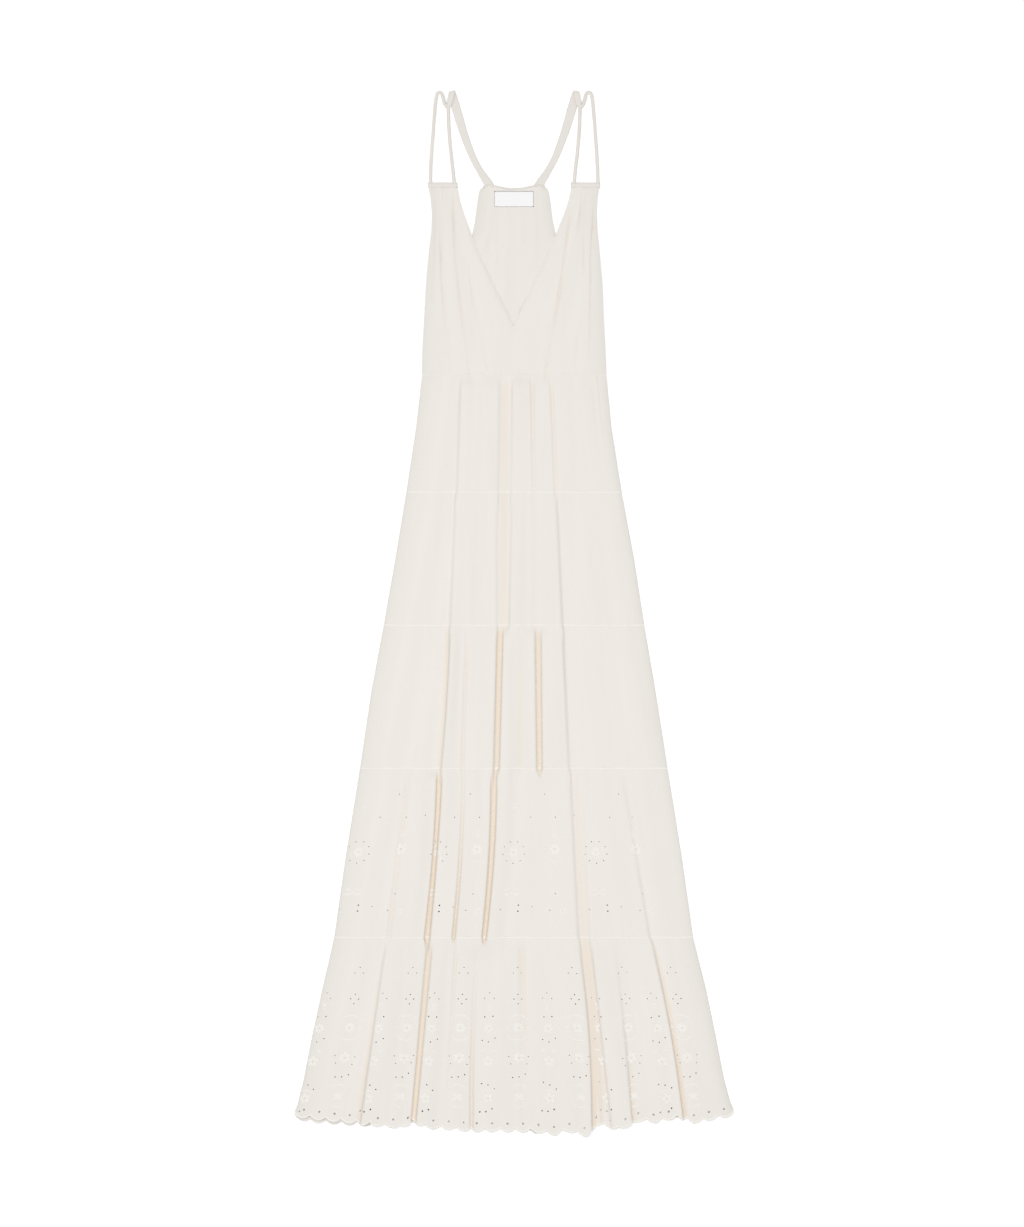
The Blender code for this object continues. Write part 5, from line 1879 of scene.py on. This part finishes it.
def make_finishes():
    """The finishes of the dress by their use."""
    groups = {
        "weave": plain_weave_group(),
        "fold": fold_shade_group(),
        "satin": satin_stitch_group(),
        "tape": tape_group(),
    }
    cream = (0.84, 0.805, 0.757, 1.0)
    # Cords, bands and binding take a darker copy of the cloth's cream: painted shade.
    painted_shade_trim_cream = (0.80, 0.765, 0.72, 1.0)
    # Seam ridges take a lighter copy of the cloth's cream: a painted highlight.
    painted_highlight_seam_cream = (0.88, 0.845, 0.80, 1.0)
    thread_white = (0.93, 0.895, 0.85, 1.0)
    label_white = (0.95, 0.95, 0.95, 1.0)
    return {
        "cloth": cotton_finish("white_cotton", groups, cream, spacing=0.5 * MM, crinkle=0.6),
        "trim": cotton_finish("bias_cotton_painted_shade", groups, painted_shade_trim_cream, spacing=0.45 * MM, crinkle=0.3, turn=True),
        "seam": cotton_finish("seam_cotton_painted_highlight", groups, painted_highlight_seam_cream, spacing=0.5 * MM, crinkle=1.0),
        "satin": satin_finish("satin_stitch", groups, thread_white, spacing=0.4 * MM),
        "tape": tape_finish("label_tape", groups, label_white),
    }


def sewn_sheet(name, cloth, material, work, satin, extra):
    """A finished sheet with its eyelets, its satin stitch and other small pieces on it."""
    piece = new_piece(name + "_cloth", sheet_mesh(name + "_cloth", cloth, work.holes), material, [name])
    thicken(piece)
    on_it = list(extra)
    if work.points:
        on_it.append(new_piece(name + "_needlework", work.mesh(name + "_needlework"), satin))


def sew_tier(tier, which, sheet, lobes, finishes):
    """The front or the back of one tier, with its seam and its needlework."""
    name = "skirt_%s_%d" % (which, tier)
    on_front = which == "front"
    # The scallops stretch the last rows of the hem, so these don't count for its width.
    work = Needlework(sheet, 1.0 if on_front else -1.0)
    if tier == 4:
        band_motifs(work)
    if tier == 5:
        scallop_stitch(work, lobes)
        hem_motifs(work)
    ridge = seam_mesh(sheet, name + "_seam", random.Random(SEAM_SEED + tier), work.face)
    # Seams below the first tier take the lighter cotton, a painted highlight along the ridge.
    ridge_piece = new_piece(name + "_seam", ridge, finishes["cloth" if tier == 1 else "seam"])
    sewn_sheet(name, sheet, finishes["cloth"], work, finishes["satin"], [ridge_piece])


def sew_skirt(waist, finishes):
    """The five tiers, each hanging from the line of the seam above it."""
    above = top_line(waist[:, 0], waist[:, 2])
    for tier in range(1, 6):
        front = front_cloth(tier, above)
        back = back_cloth(tier)
        above = top_line(front.points[-1][:, 0], front.points[-1][:, 2])
        front_lobes = lobe_phases([(x, z) for x, _, z in front.points[-1]])
        sew_tier(tier, "front", front, front_lobes, finishes)
        sew_tier(tier, "back", back, np.linspace(0.0, 1.0, back.cols) * back_lobes(), finishes)


def sew_bodice(left, right, finishes):
    """The bodice front, from its two halves, and the bodice back."""
    piece = new_piece("bodice_front_cloth", joined_bodice(left, right), finishes["cloth"], ["bodice_front"])
    thicken(piece)
    mesh = sheet_mesh("bodice_back_cloth", back_bodice_cloth())
    piece = new_piece("bodice_back_cloth", mesh, finishes["cloth"], ["bodice_back"])
    thicken(piece)


def sew_neck(finishes):
    """The neck binding and the blank label under it."""
    steps, sides = 5, 14
    label_low, label_high, squareness = 1.7 * MM, 2.5 * MM, 10.0
    points = [(chart_x(point.col), chart_y(point.row), BINDING_HEIGHT) for point in NECK_BINDING]
    path = smooth_path(points, steps)
    mesh = tube_mesh("neck_binding_roll", path, lambda travelled, angle: BINDING_RADIUS, sides)
    new_piece("neck_binding_roll", mesh, finishes["trim"], ["neck_binding"])
    mesh = pad_mesh("neck_label_tape", LABEL_COLS, LABEL_ROWS, label_low, label_high, square=squareness)
    new_piece("neck_label_tape", mesh, finishes["tape"], ["neck_label"])


def sew_shoulder(side, mirrored, trim):
    """The band, the two cords and the back strap of one shoulder."""
    band_low, band_high, puckers, arch = 0.1 * MM, 3.5 * MM, 7, 0.3 * MM
    cord_steps = 8
    name = "shoulder_band_" + side
    cols = [mirror_col(col) for col in reversed(BAND_COLS)] if mirrored else BAND_COLS
    mesh = pad_mesh(name + "_pad", cols, BAND_ROWS, band_low, band_high, puckers, BAND_SEEDS[side], arch=arch)
    new_piece(name + "_pad", mesh, trim, [name])
    for which, table, phase in (("outer", OUTER_CORD, 0.4), ("inner", INNER_CORD, 2.1)):
        name = "strap_%s_%s" % (which, side)
        path = strap_path(table, mirrored, cord_steps)
        mesh = rouleau(path, CORD_RADIUS, phase + mirrored, name + "_tube")
        new_piece(name + "_tube", mesh, trim, [name])
    name = "strap_back_" + side
    new_piece(name + "_strap", back_strap_mesh(mirrored, name + "_strap"), trim, [name])


def main():
    """The whole dress, its floor, its light and its camera."""
    use_camera()
    finishes = make_finishes()
    left, right = bodice_cloth("left"), bodice_cloth("right")
    sew_skirt(np.concatenate([left.points[-1], right.points[-1][1:]]), finishes)
    sew_bodice(left, right, finishes)
    sew_neck(finishes)
    sew_shoulder("left", False, finishes["trim"])
    sew_shoulder("right", True, finishes["trim"])
    build_floor()
    build_light()


main()
